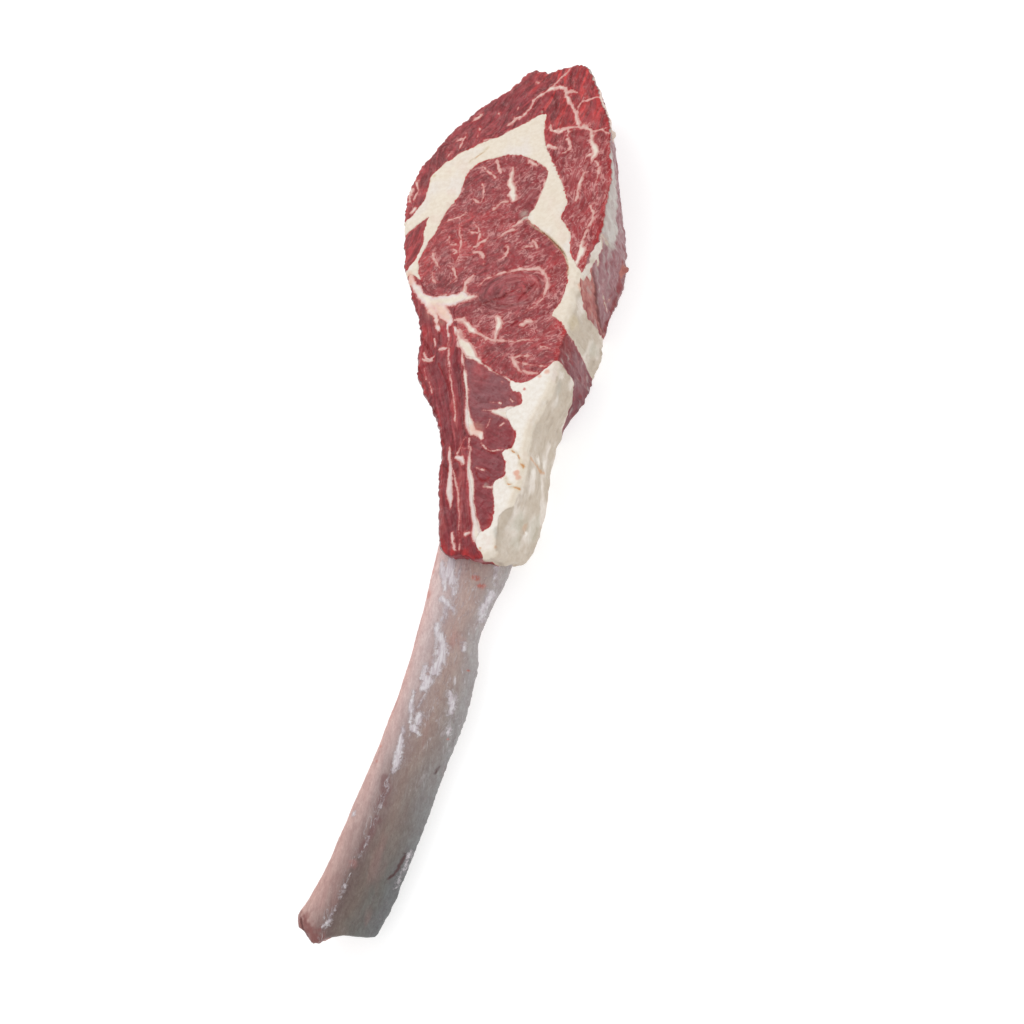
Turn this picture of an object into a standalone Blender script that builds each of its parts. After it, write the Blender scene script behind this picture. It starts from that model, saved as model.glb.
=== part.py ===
"""Raw tomahawk steak: a thick rib-eye slice with its long, frenched rib bone.

The steak lies flat with its cut face up. +X points to the fat side, +Y to the thick end away from the
bone and +Z up, with the origin under the middle of the steak. The muscles and the fat between them run
through the whole thickness, so one slab of meat is cut along their seams, and the rib lies in a pocket.
The outlines below are drawn in millimetres. DRAWING_CENTRE is the point in them that becomes the origin.
"""

import bmesh
import bpy
import numpy as np
from mathutils import Vector
from mathutils.bvhtree import BVHTree

MM = 0.001

# Driving sizes
DRAWING_CENTRE = (-1.7, 1.5)
THICKNESS = 40.0
SEAM_GAP = 0.3
RIB_CLEARANCE = 0.35
EDGE_SPACING = 3.8
SEAM_SPACING = 4.2
RIB_SPACING = 8.0
RIB_SIDES = 20
KNIFE_OVERSHOOT = 3.0
PROBE_HEIGHT = 80.0

# Height of each ring of the slab's side, and how far it lies inside the edge
SIDE_RINGS = (
    (0.0, 2.4), (1.2, 0.5), (3.5, -0.4), (20.0, -1.2), (37.2, -0.6), (39.3, -0.2), (40.0, 0.7),
)

# Edge of the slab, clockwise from the tip: x, y of the upper face, then x, y of the face it lies on
MEAT_EDGE = (
    (24, 242, 23, 238), (36, 240, 34, 236), (41, 233, 38, 229), (46, 221, 42, 218), (50, 209, 45, 208),
    (55, 198, 48, 196), (57, 187, 51, 185), (59, 170, 54, 170), (61, 153, 57, 155), (60, 142, 60, 142),
    (59, 131, 62, 129), (58, 119, 63, 117), (54, 109, 62, 107), (51, 98, 58, 96), (49, 87, 55, 84),
    (48, 75, 54, 72), (46, 63, 53, 59), (44, 50, 50, 49), (44, 36, 46, 38), (42, 24, 39, 27),
    (37, 14, 35, 15), (34, 2, 34, 3), (34, -14, 33, -12), (33, -26, 33, -25), (30, -37, 32, -35),
    (26, -48, 30, -44), (24, -61, 25, -52), (14, -62, 11, -53), (4, -60, -3, -50), (-5, -57, -16, -46),
    (-9, -44, -19, -36), (-12, -24, -19, -22), (-14, -4, -18, -4), (-20, 14, -20, 14),
    (-29, 27, -27, 27), (-36, 40, -33, 40), (-39, 56, -36, 56), (-41, 72, -38, 73), (-49, 90, -46, 91),
    (-56, 106, -53, 107), (-61, 123, -58, 123), (-64, 140, -61, 140), (-66, 158, -63, 157),
    (-64, 175, -61, 173), (-55, 193, -52, 190), (-42, 210, -39, 206), (-27, 223, -25, 219),
    (-11, 233, -10, 229), (3, 244, 3, 239), (13, 240, 13, 235),
)

# Seams between muscles and fat, each a cut through the whole thickness
CAP_SEAM = (
    (-76, 139), (-64, 145), (-57, 153), (-53, 163), (-52, 175), (-45, 183), (-34, 190), (-24, 194),
    (-12, 197), (0, 202), (9, 207), (16, 209), (17, 201), (18, 189), (23, 177), (29, 165), (34, 153),
    (37, 144), (35, 134), (41, 124), (43, 112), (47, 102), (51, 96), (53, 82), (58, 66),
)
EYE_SEAM = (
    (57, 45), (51, 55), (46, 63), (40, 70), (37, 73), (42, 82), (43, 96), (40, 108), (33, 118), (24, 127),
    (15, 136), (18, 144), (22, 157), (22, 168), (13, 176), (3, 181), (-10, 182), (-24, 178), (-29, 169),
    (-31, 158), (-38, 147), (-41, 136), (-47, 124), (-49, 114), (-46, 103), (-39, 94), (-28, 91),
    (-19, 93),
)
EYE_LOWER_SEAM = (
    (-19, 93), (-14, 89), (-20, 84), (-21, 79), (-18, 72), (-17, 65), (-13, 56), (-9, 51), (-1, 49),
    (7, 42), (18, 36), (25, 33), (32, 35), (38, 41), (44, 46), (54, 50),
)
EDGE_MUSCLE_UPPER_SEAM = ((-76, 129), (-63, 135), (-54, 142), (-47.5, 146.6))
EDGE_MUSCLE_LOWER_SEAM = ((-48.2, 147), (-50, 137), (-49, 128), (-52, 118), (-57, 111), (-70, 106))
KNOT_SEAM = ((-75, 98), (-60, 104), (-53, 107), (-46, 103))
FAT_CAP_SEAM = (
    (18, 36), (21, 29), (26, 27), (27, 21), (20, 17), (22, 11), (26, 5), (26, -2), (21, -6), (23, -12),
    (24, -18), (19, -22), (19, -28), (21, -36), (20, -45), (15, -49), (14, -55), (18, -61), (20, -72),
)
RIB_STRIP_SEAM = (
    (-9.3, 51.8), (-9, 41), (-6, 31), (-3, 21), (0, 9), (3, -4), (3, -13), (6, -23), (10, -36),
    (15.5, -50),
)

# A point on the upper face inside each piece of meat or fat
MEAT_NODES = {
    "cap_muscle": (0, 222),
    "seam_fat": (-42, 168),
    "edge_muscle": (-57, 128),
    "eye_muscle": (0, 110),
    "rib_strips": (-28, 55),
    "lower_muscle": (6, 20),
    "fat_cap": (31, 0),
}
FAT_NODES = ("seam_fat", "fat_cap")

# Rib bone, from its sawn end to the hidden end in the meat: y, left x, right x, lowest z, highest z
RIB_ROWS = (
    (-241, -52, -25, 6, 24), (-240, -55, -22, 5, 26), (-234, -57, -20, 4, 28), (-224, -52, -16, 4, 28),
    (-207, -45, -11, 5, 28), (-186, -39, -5, 5, 28), (-163, -33, 0, 5, 28), (-136, -26, 7, 6, 28),
    (-112, -21, 10, 6, 28), (-96, -19, 9, 7, 28), (-80, -17, 14, 7, 29), (-66, -16, 19, 7, 30),
    (-54, -15, 22, 8, 30), (-38, -14, 19, 9, 29), (-14, -13, 17, 10, 28), (14, -14, 13, 11, 28),
    (40, -18, 8, 12, 27), (54, -19, 4, 14, 25),
)
# The rib's section in a unit square: a narrow upper strip, a ridge and a broad slope to the right
RIB_SECTION = (
    (0.00, 0.62), (0.06, 0.87), (0.24, 0.97), (0.45, 1.00), (0.63, 0.80), (0.82, 0.48), (0.97, 0.22),
    (0.98, 0.06), (0.80, 0.00), (0.45, 0.02), (0.16, 0.14), (0.03, 0.36),
)

# Colour and roughness of each material
MATERIALS = {
    "lean": ((0.34, 0.055, 0.065), 0.42),
    "fat": ((0.80, 0.70, 0.58), 0.50),
    "bone": ((0.50, 0.38, 0.35), 0.45),
}
SAMPLES_PER_SPAN = 24
SECTION_SPACING = 0.1
SHARP_ANGLE = 0.7


def clear_scene():
    for obj in list(bpy.data.objects):
        bpy.data.objects.remove(obj)


def make_collection(name):
    collection = bpy.data.collections.new(name)
    bpy.context.scene.collection.children.link(collection)
    return collection


def make_material(name):
    colour, roughness = MATERIALS[name]
    material = bpy.data.materials.new(name)
    material.use_nodes = True
    shader = material.node_tree.nodes["Principled BSDF"]
    shader.inputs["Base Color"].default_value = (*colour, 1.0)
    shader.inputs["Roughness"].default_value = roughness
    shader.inputs["Metallic"].default_value = 0.0
    return material


def placed(x, y, z):
    """A drawn point in metres from the origin."""
    return Vector((x - DRAWING_CENTRE[0], y - DRAWING_CENTRE[1], z)) * MM


def smooth_curve(points, spacing, closed=False):
    """Points about `spacing` apart, measured in the first two columns, on a curve through `points`."""
    knots = np.array(points, dtype=float)
    if closed:
        knots = np.vstack([knots[-1:], knots, knots[:2]])
    else:
        knots = np.vstack([2 * knots[0] - knots[1], knots, 2 * knots[-1] - knots[-2]])
    step = np.linspace(0, 1, SAMPLES_PER_SPAN, endpoint=False)[:, None]
    spans = []
    for a, b, c, d in zip(knots, knots[1:], knots[2:], knots[3:]):
        cubic = 3 * (b - c) + d - a
        square = 2 * a - 5 * b + 4 * c - d
        spans.append(b + 0.5 * step * ((c - a) + step * (square + step * cubic)))
    fine = np.vstack(spans + [knots[-2:-1]])
    reach = np.concatenate([[0], np.cumsum(np.linalg.norm(np.diff(fine[:, :2], axis=0), axis=1))])
    count = max(2, round(reach[-1] / spacing))
    places = np.linspace(0, reach[-1], count + 1)
    even = np.stack([np.interp(places, reach, column) for column in fine.T], axis=1)
    return even[:-1] if closed else even


def outward_normals(loop):
    """Unit normals of a clockwise closed loop, pointing away from its inside."""
    along = np.roll(loop, -1, axis=0) - np.roll(loop, 1, axis=0)
    normals = np.stack([-along[:, 1], along[:, 0]], axis=1)
    return normals / np.linalg.norm(normals, axis=1, keepdims=True)


def loft(name, rings):
    """A closed mesh object through rings of equally many points, with a flat face at each end."""
    mesh = bpy.data.meshes.new(name)
    bm = bmesh.new()
    loops = [[bm.verts.new(placed(*point)) for point in ring] for ring in rings]
    for lower, upper in zip(loops, loops[1:]):
        for i, corner in enumerate(lower):
            after = (i + 1) % len(lower)
            bm.faces.new((corner, lower[after], upper[after], upper[i]))
    bm.faces.new(reversed(loops[0]))
    bm.faces.new(loops[-1])
    bmesh.ops.recalc_face_normals(bm, faces=bm.faces)
    bm.to_mesh(mesh)
    bm.free()
    return bpy.data.objects.new(name, mesh)


def make_slab():
    """The whole slab of meat: a flat top and bottom with a rounded, slightly bulging side."""
    edge = smooth_curve(MEAT_EDGE, EDGE_SPACING, closed=True)
    upper, lower = edge[:, :2], edge[:, 2:]
    rings = []
    for height, inset in SIDE_RINGS:
        part = height / THICKNESS
        ring = lower * (1 - part) + upper * part
        ring = ring - outward_normals(ring) * inset
        rings.append([(x, y, height) for x, y in ring])
    return loft("slab", rings)


def make_knife(name, points):
    """A thin upright blade along a seam, taller than the slab."""
    path = smooth_curve(points, SEAM_SPACING)
    mesh = bpy.data.meshes.new(name)
    bm = bmesh.new()
    low, high = -KNIFE_OVERSHOOT, THICKNESS + KNIFE_OVERSHOOT
    posts = [(bm.verts.new(placed(x, y, low)), bm.verts.new(placed(x, y, high))) for x, y in path]
    for near, far in zip(posts, posts[1:]):
        bm.faces.new((near[0], far[0], far[1], near[1]))
    bm.to_mesh(mesh)
    bm.free()
    knife = bpy.data.objects.new(name, mesh)
    blade = knife.modifiers.new("blade", "SOLIDIFY")
    blade.thickness = SEAM_GAP * MM
    blade.offset = 0.0
    blade.use_even_offset = True
    return knife


def rib_section():
    """The rib's section in the unit square, as evenly spaced points."""
    outline = smooth_curve(RIB_SECTION, SECTION_SPACING, closed=True)
    sides = np.diff(np.vstack([outline, outline[:1]]), axis=0)
    return smooth_curve(RIB_SECTION, np.linalg.norm(sides, axis=1).sum() / RIB_SIDES, closed=True)


def make_rib(name, margin=0.0):
    """The rib as a loft of its section, or with a margin the room that it takes up in the meat."""
    section = rib_section()
    rings = []
    for y, left, right, low, high in smooth_curve(RIB_ROWS, RIB_SPACING):
        left, right, low, high = left - margin, right + margin, low - margin, high + margin
        rings.append([(left + u * (right - left), y, low + w * (high - low)) for u, w in section])
    if margin:
        rings.append([(x, y + margin, z) for x, y, z in rings[-1]])
    return loft(name, rings)


def hide_cutter(obj, collection):
    collection.objects.link(obj)
    obj.hide_render = True
    obj.display_type = "WIRE"


def cut(obj, cutter):
    difference = obj.modifiers.new("cut_" + cutter.name, "BOOLEAN")
    difference.operation = "DIFFERENCE"
    difference.solver = "EXACT"
    difference.object = cutter


def evaluated_mesh(obj):
    depsgraph = bpy.context.evaluated_depsgraph_get()
    return bpy.data.meshes.new_from_object(obj.evaluated_get(depsgraph))


def island_of(start):
    """All faces joined to a face by shared edges."""
    found = {start}
    queue = [start]
    while queue:
        face = queue.pop()
        for edge in face.edges:
            for other in edge.link_faces:
                if other not in found:
                    found.add(other)
                    queue.append(other)
    return found


def piece_below(mesh, name, spot):
    """A new object from the loose part of a mesh that lies under a spot."""
    bm = bmesh.new()
    bm.from_mesh(mesh)
    bm.faces.ensure_lookup_table()
    hit = BVHTree.FromBMesh(bm).ray_cast(placed(*spot, PROBE_HEIGHT), Vector((0, 0, -1)))
    kept = island_of(bm.faces[hit[2]])
    dropped = [face for face in bm.faces if face not in kept]
    bmesh.ops.delete(bm, geom=dropped, context="FACES")
    piece = bpy.data.meshes.new(name)
    bm.to_mesh(piece)
    bm.free()
    return bpy.data.objects.new(name, piece)


def make_meat(steak, cutters, lean, fat):
    slab = make_slab()
    hide_cutter(slab, cutters)
    seams = (CAP_SEAM, EYE_SEAM, EYE_LOWER_SEAM, EDGE_MUSCLE_UPPER_SEAM, EDGE_MUSCLE_LOWER_SEAM,
             KNOT_SEAM, FAT_CAP_SEAM, RIB_STRIP_SEAM)
    for number, seam in enumerate(seams, start=1):
        knife = make_knife(f"seam_{number}", seam)
        hide_cutter(knife, cutters)
        cut(slab, knife)
    pocket = make_rib("rib_pocket", RIB_CLEARANCE)
    hide_cutter(pocket, cutters)
    pieces = evaluated_mesh(slab)
    for name, spot in MEAT_NODES.items():
        piece = piece_below(pieces, name, spot)
        steak.objects.link(piece)
        piece.data.materials.append(fat if name in FAT_NODES else lean)
        cut(piece, pocket)


def make_bone(steak, bone):
    rib = make_rib("rib_bone")
    steak.objects.link(rib)
    rib.data.materials.append(bone)
    rib.data.shade_smooth()
    rib.data.set_sharp_from_angle(angle=SHARP_ANGLE)


def main():
    clear_scene()
    steak = make_collection("tomahawk_steak")
    cutters = make_collection("cutters")
    make_meat(steak, cutters, make_material("lean"), make_material("fat"))
    make_bone(steak, make_material("bone"))


main()
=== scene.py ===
"""Looks of the raw tomahawk steak: marbled meat, seam fat with cracks, membranes and a scraped rib bone.

Each piece of meat or fat keeps its CAD outline and seams, and gets a dense mesh with ragged edges, grain,
slits and lumps. Colours and patterns are worked out for each vertex and refined by the materials. Lengths
are in millimetres in the drawing that part.py uses, whose point DRAWING_CENTRE is the origin of the frame.
A call of noise, layered_noise or wander ends with the width of the bumps and a seed.
"""

import functools
import itertools
import math
from collections import namedtuple

import bpy
import numpy as np
from mathutils import Matrix, Vector
from mathutils.geometry import delaunay_2d_cdt
from mathutils.kdtree import KDTree

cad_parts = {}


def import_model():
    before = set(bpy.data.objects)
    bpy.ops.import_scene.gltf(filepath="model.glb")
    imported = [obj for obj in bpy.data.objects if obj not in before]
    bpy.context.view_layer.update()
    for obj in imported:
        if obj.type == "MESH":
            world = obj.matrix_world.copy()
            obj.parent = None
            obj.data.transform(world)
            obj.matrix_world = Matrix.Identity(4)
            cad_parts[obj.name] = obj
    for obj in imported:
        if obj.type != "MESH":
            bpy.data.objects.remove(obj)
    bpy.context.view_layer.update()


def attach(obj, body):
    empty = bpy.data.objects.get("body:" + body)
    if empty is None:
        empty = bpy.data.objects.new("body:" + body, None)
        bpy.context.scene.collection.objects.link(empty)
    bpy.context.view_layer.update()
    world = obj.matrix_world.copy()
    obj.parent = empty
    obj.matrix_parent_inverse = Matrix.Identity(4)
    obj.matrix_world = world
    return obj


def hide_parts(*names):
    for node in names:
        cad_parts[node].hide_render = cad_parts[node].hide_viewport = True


MM = 0.001
DRAWING_CENTRE = (-1.7, 1.5)
THICKNESS = 40.0
NEVER = 1e3

# Distance between the mesh's points, how far they are jittered and how clear of the seams they keep
SPACING = 0.48
JITTER = 0.12 * SPACING
CLEARANCE = 0.62 * SPACING
SEAM_OVERRUN = 0.7
SAMPLES_PER_SPAN = 24
# Points that are moved to the face below in one go, and the mean height of that face above the floor
BATCH = 4000
UNDERSIDE = 0.25

# Camera of the photograph: where it stands, the way it is turned and its lens
CAMERA_PLACE = (0.2077, -0.1915, 0.442)
CAMERA_RIGHT = (0.9258, 0.1337, -0.3537)
CAMERA_UP = (0.0, 0.9353, 0.3537)
CAMERA_BACK = (0.3781, -0.3275, 0.8660)
LENS = 33.4

# Area lights in metres and watts: name, place, size, power
LIGHTS = (("key", (-0.7, 0.75, 1.3), 0.9, 6.5), ("fill", (1.1, -0.6, 1.2), 1.6, 1.0))

# How far the slab's side lies inside the drawn edge: height, distance
SIDE_RINGS = ((0, 2.4), (1.2, 0.5), (3.5, -0.4), (20, -1.2), (37.2, -0.6), (39.3, -0.2), (40, 0.7))
# Heights of the side's lowest and highest rings, and the distance between the others
LOW_RINGS = (0.0, 0.4, 1.0, 1.8, 2.8)
HIGH_RINGS = (39.0, 39.5, 40.0)
RING_STEP = 0.9

# Edge of the slab, clockwise from the tip: x, y of the upper face, then x, y of the face it lies on
MEAT_EDGE = (
    (24, 242, 23, 238), (36, 240, 34, 236), (41, 233, 38, 229), (46, 221, 42, 218), (50, 209, 45, 208),
    (55, 198, 48, 196), (57, 187, 51, 185), (59, 170, 54, 170), (61, 153, 57, 155), (60, 142, 60, 142),
    (59, 131, 62, 129), (58, 119, 63, 117), (54, 109, 62, 107), (51, 98, 58, 96), (49, 87, 55, 84),
    (48, 75, 54, 72), (46, 63, 53, 59), (44, 50, 50, 49), (44, 36, 46, 38), (42, 24, 39, 27),
    (37, 14, 35, 15), (34, 2, 34, 3), (34, -14, 33, -12), (33, -26, 33, -25), (30, -37, 32, -35),
    (26, -48, 30, -44), (24, -61, 25, -52), (14, -62, 11, -53), (4, -60, -3, -50), (-5, -57, -16, -46),
    (-9, -44, -19, -36), (-12, -24, -19, -22), (-14, -4, -18, -4), (-20, 14, -20, 14), (-29, 27, -27, 27),
    (-36, 40, -33, 40), (-39, 56, -36, 56), (-41, 72, -38, 73), (-49, 90, -46, 91), (-56, 106, -53, 107),
    (-61, 123, -58, 123), (-64, 140, -61, 140), (-66, 158, -63, 157), (-64, 175, -61, 173),
    (-55, 193, -52, 190), (-42, 210, -39, 206), (-27, 223, -25, 219), (-11, 233, -10, 229),
    (3, 244, 3, 239), (13, 240, 13, 235),
)

# Seams between muscles and fat
CAP_SEAM = (
    (-76, 139), (-64, 145), (-57, 153), (-53, 163), (-52, 175), (-45, 183), (-34, 190), (-24, 194),
    (-12, 197), (0, 202), (9, 207), (16, 209), (17, 201), (18, 189), (23, 177), (29, 165), (34, 153),
    (37, 144), (35, 134), (41, 124), (43, 112), (47, 102), (51, 96), (53, 82), (58, 66),
)
EYE_SEAM = (
    (57, 45), (51, 55), (46, 63), (40, 70), (37, 73), (42, 82), (43, 96), (40, 108), (33, 118), (24, 127),
    (15, 136), (18, 144), (22, 157), (22, 168), (13, 176), (3, 181), (-10, 182), (-24, 178), (-29, 169),
    (-31, 158), (-38, 147), (-41, 136), (-47, 124), (-49, 114), (-46, 103), (-39, 94), (-28, 91),
    (-19, 93),
)
EYE_LOWER_SEAM = (
    (-19, 93), (-14, 89), (-20, 84), (-21, 79), (-18, 72), (-17, 65), (-13, 56), (-9, 51), (-1, 49),
    (7, 42), (18, 36), (25, 33), (32, 35), (38, 41), (44, 46), (54, 50),
)
EDGE_MUSCLE_UPPER_SEAM = ((-76, 129), (-63, 135), (-54, 142), (-47.5, 146.6))
EDGE_MUSCLE_LOWER_SEAM = ((-48.2, 147), (-50, 137), (-49, 128), (-52, 118), (-57, 111), (-70, 106))
KNOT_SEAM = ((-75, 98), (-60, 104), (-53, 107), (-46, 103))
FAT_CAP_SEAM = (
    (18, 36), (21, 29), (26, 27), (27, 21), (20, 17), (22, 11), (26, 5), (26, -2), (21, -6), (23, -12),
    (24, -18), (19, -22), (19, -28), (21, -36), (20, -45), (15, -49), (14, -55), (18, -61), (20, -72),
)
RIB_STRIP_SEAM = (
    (-9.3, 51.8), (-9, 41), (-6, 31), (-3, 21), (0, 9), (3, -4), (3, -13), (6, -23), (10, -36),
    (15.5, -50),
)
SEAMS = (CAP_SEAM, EYE_SEAM, EYE_LOWER_SEAM, EDGE_MUSCLE_UPPER_SEAM, EDGE_MUSCLE_LOWER_SEAM, KNOT_SEAM,
         FAT_CAP_SEAM, RIB_STRIP_SEAM)

# A point on the upper face inside each piece of meat or fat
MEAT_NODES = {
    "cap_muscle": (0, 222), "seam_fat": (-42, 168), "edge_muscle": (-57, 128), "eye_muscle": (0, 110),
    "rib_strips": (-28, 55), "lower_muscle": (6, 20), "fat_cap": (31, 0),
}
FAT_NODES = ("seam_fat", "fat_cap")

# Veins and flecks of fat on the upper face, each a line of points with half widths: x, y, half width
CAP_VEINS = (
    ((-6.5, 205, 0.8), (-3, 208.5, 0.8), (1.5, 209, 0.8), (6.5, 216.5, 0.7), (9, 221, 0.8),
     (12.5, 224, 1), (18, 226.5, 1.1), (25.5, 225.5, 1), (27.5, 220, 1.1), (31, 213, 1.1), (34, 207, 1.1),
     (37.5, 195.5, 0.8)),
    ((18, 227, 0.5), (23.5, 233.5, 0.5), (27.5, 240, 0.3)), ((27.5, 222.5, 1.1), (32.5, 221, 0.5)),
    ((35, 205, 0.6), (38, 213.5, 0.6), (42, 214, 0.6), (48, 215.5, 0.5)),
    ((20.5, 200.5, 0.8), (22, 195, 1.1), (30, 195, 1.1), (37, 195, 1.1), (42, 195, 1.1), (46, 190, 1.3),
     (46, 183, 1.6)),
    ((46, 190.5, 1), (52, 191, 0.6), (56, 188, 0.8)),
    ((32, 194.5, 0.8), (32.5, 188, 0.8), (34.5, 181.5, 0.8), (29.5, 178.5, 0.5)),
    ((21, 184.5, 1.9), (25.5, 183, 1.1)),
    ((46.5, 183, 1.6), (48.5, 178, 2.3), (49.5, 173.5, 2.3), (48.5, 170, 1)),
    ((47, 174, 1), (44.5, 171.5, 0.6)), ((51, 169, 0.8), (52.5, 162, 0.5), (51.5, 155.5, 0.3)),
    ((44, 163, 0.8), (43.5, 157.5, 1.2), (42.5, 151, 1), (42, 144.5, 0.4)),
    ((51.5, 139, 0.8), (53.5, 133, 0.8), (51, 125, 0.5), (49, 118, 0.3)),
    ((48.5, 116, 1.1), (49.5, 111, 2.4), (48, 106, 2.2), (46.5, 102, 1.2)),
    ((-30.5, 212.5, 0.6), (-28.5, 215, 1.3), (-26.5, 217, 0.8)), ((-25.5, 207, 0.4), (-25.5, 199.5, 0.4)),
    ((-38.5, 199, 0.6), (-35.5, 199.5, 0.6)), ((-36, 194, 0.5), (-34, 203.5, 0.3)),
    ((-44, 187.5, 0.7), (-42.5, 190.5, 0.5)), ((-62.5, 176, 0.8), (-60, 167, 0.6), (-61, 160, 0.5)),
    ((-65, 167.5, 1.6), (-63.5, 159, 0.6)), ((-59, 154, 1.3), (-61, 150.5, 1.1)),
    ((-21, 195, 0.8), (-13, 196, 0.6), (-5.5, 199.5, 1.2)),
    ((-25, 225, 0.3), (-16, 231, 0.6), (-9, 235, 0.6), (-3, 239.5, 0.3)),
)
EYE_VEINS = (
    ((0.5, 173, 0.7), (0.5, 166, 1.8), (1, 161, 2.1), (3, 155, 2.4), (4.5, 150, 2)),
    ((-18, 176, 0.6), (-12, 170.5, 0.7), (-9, 167.5, 0.5)),
    ((-10.5, 180.5, 0.7), (-9, 174.5, 1.1), (-6.5, 171, 0.5)), ((10, 176, 1.1), (15.5, 171.5, 1.1)),
    ((-21, 154, 0.7), (-15.5, 151.5, 0.7), (-15.5, 158.5, 0.5), (-17, 164.5, 0.4)),
    ((-7.5, 145, 0.4), (-4, 149.5, 0.5), (1, 150, 0.5)),
    ((-26.5, 137.5, 0.5), (-25, 128.5, 0.5), (-23.5, 119.5, 0.4), (-24.5, 112, 0.3)),
    ((-17.5, 137.5, 0.3), (-14.5, 132.5, 0.5), (-12.5, 126, 0.4), (-15, 121, 0.3)),
    ((-20, 132, 0.3), (-14.5, 129.5, 0.4)), ((-15, 121, 0.6), (-11, 123.5, 0.9), (-8.5, 125.5, 0.7)),
    ((8, 129, 0.9), (4.5, 129, 0.7), (0.5, 127.5, 0.4), (-1, 126, 0.2)),
    ((7.5, 132, 0.9), (11.5, 135, 1.4), (15.5, 136.5, 1.8)),
    ((22, 160.5, 0.8), (21.5, 154.5, 1.6), (21, 147.5, 1.9), (20, 142.5, 1.6)),
    ((-32.5, 129.5, 0.4), (-31, 124, 0.5), (-27, 123.5, 0.4)),
    ((-40.5, 120, 0.4), (-38.5, 114, 0.7), (-35.5, 109, 0.4)),
    ((-39, 106.5, 0.7), (-39, 103, 0.7), (-35.5, 99.5, 0.3)),
    ((-28.5, 120.5, 0.3), (-25.5, 118.5, 0.5), (-28, 117.5, 0.3)),
    ((-15, 117, 0.4), (-10.5, 116.5, 0.9), (-8.5, 113, 0.8), (-8, 108.5, 0.3)),
    ((3, 111, 0.5), (5.5, 114.5, 0.7), (6, 118, 0.4), (4.5, 119.5, 0.3)),
    ((14, 116, 0.6), (16.5, 117.5, 0.8), (19.5, 117.5, 0.8)),
    ((19.5, 121.5, 0.4), (21.5, 118.5, 1.1), (23, 116, 0.4)),
    ((-6.5, 95.5, 0.3), (-3.5, 99, 0.4), (4.5, 101.5, 0.6), (12, 102, 0.8), (19.5, 103, 1.1),
     (27.5, 101, 1), (31, 95.5, 1.1), (33, 89, 1.1), (30.5, 83, 0.6), (25, 78, 0.4), (21.5, 75.5, 0.2)),
    ((-18, 93.5, 0.8), (-15.5, 99.5, 1.4), (-13.5, 102, 0.5)),
    ((5.5, 60.5, 0.7), (17, 58.5, 0.7), (27.5, 58, 0.4)),
    ((5.5, 74.5, 0.8), (8, 72, 2.2), (7.5, 68, 2.4), (7, 64, 1.5), (6.5, 60, 1.2)),
    ((20.5, 68, 1.1), (23.5, 69.5, 1.2), (27.5, 69.5, 0.5)),
    ((18.5, 48.5, 0.8), (22.5, 49, 0.5), (28.5, 48.5, 0.4)),
    ((18.5, 48.5, 0.8), (21, 43.5, 1.1), (24.5, 39.5, 0.5)),
    ((21, 45.5, 0.4), (26, 44, 0.4), (38, 42, 0.3)),
    ((22.5, 41.5, 0.4), (28.5, 38.5, 0.5), (33.5, 38, 0.4)),
    ((33, 53.5, 0.3), (36, 54, 0.4), (42.5, 49.5, 0.3)),
    ((-37.5, 140.5, 0.5), (-31, 143, 0.4), (-24.5, 145.5, 0.4)),
    ((-27, 108.5, 0.5), (-23.5, 103, 0.5), (-26.5, 99, 0.4)),
)
KNOT_VEINS = (
    ((-53.5, 110.5, 1.8), (-51.5, 102.5, 1.8), (-46, 95.5, 2.2), (-40, 89.5, 3.2), (-34, 87, 4)),
    ((-37.5, 88, 3), (-28.5, 87.5, 4), (-20.5, 88, 3.8), (-14, 88, 2.6), (-8.5, 88, 0.5)),
    ((-18.5, 90, 1.9), (-16.5, 94.5, 1), (-15, 98, 0.4)),
    ((-34, 85.5, 1.9), (-28.5, 81.5, 3.4), (-25, 77.5, 3), (-22, 74, 1.7), (-21, 71, 0.5)),
    ((-39, 87, 2.2), (-34.5, 81.5, 2.4), (-31.5, 77, 1.6), (-29, 71, 1.3), (-29.5, 67, 0.3)),
    ((-22.5, 73, 1.1), (-22.5, 67.5, 0.5), (-21, 60.5, 0.5), (-19, 50, 0.8), (-16, 38.5, 0.6),
     (-12.5, 28.5, 0.5), (-9.5, 18, 0.4), (-8.5, 12.5, 0.3)),
    ((-19.5, 75, 0.5), (-17, 74.5, 0.9), (-12, 71.5, 1.5), (-8, 68, 2), (-4, 64.5, 1.3), (1, 61.5, 0.9),
     (5.5, 60.5, 0.4)),
    ((-18.5, 70, 1), (-15, 63.5, 1.7), (-11, 58.5, 3), (-7, 53, 2.9), (-1.5, 48, 1.2), (6.5, 42, 0.6),
     (16, 36.5, 0.4), (22, 32.5, 0.3)),
    ((-26.5, 56, 0.3), (-23, 57.5, 0.9), (-20.5, 58, 0.6)),
    ((-35, 55.5, 0.3), (-32.5, 51, 0.5), (-30.5, 49.5, 0.6), (-29, 52.5, 0.3)),
)
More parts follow.
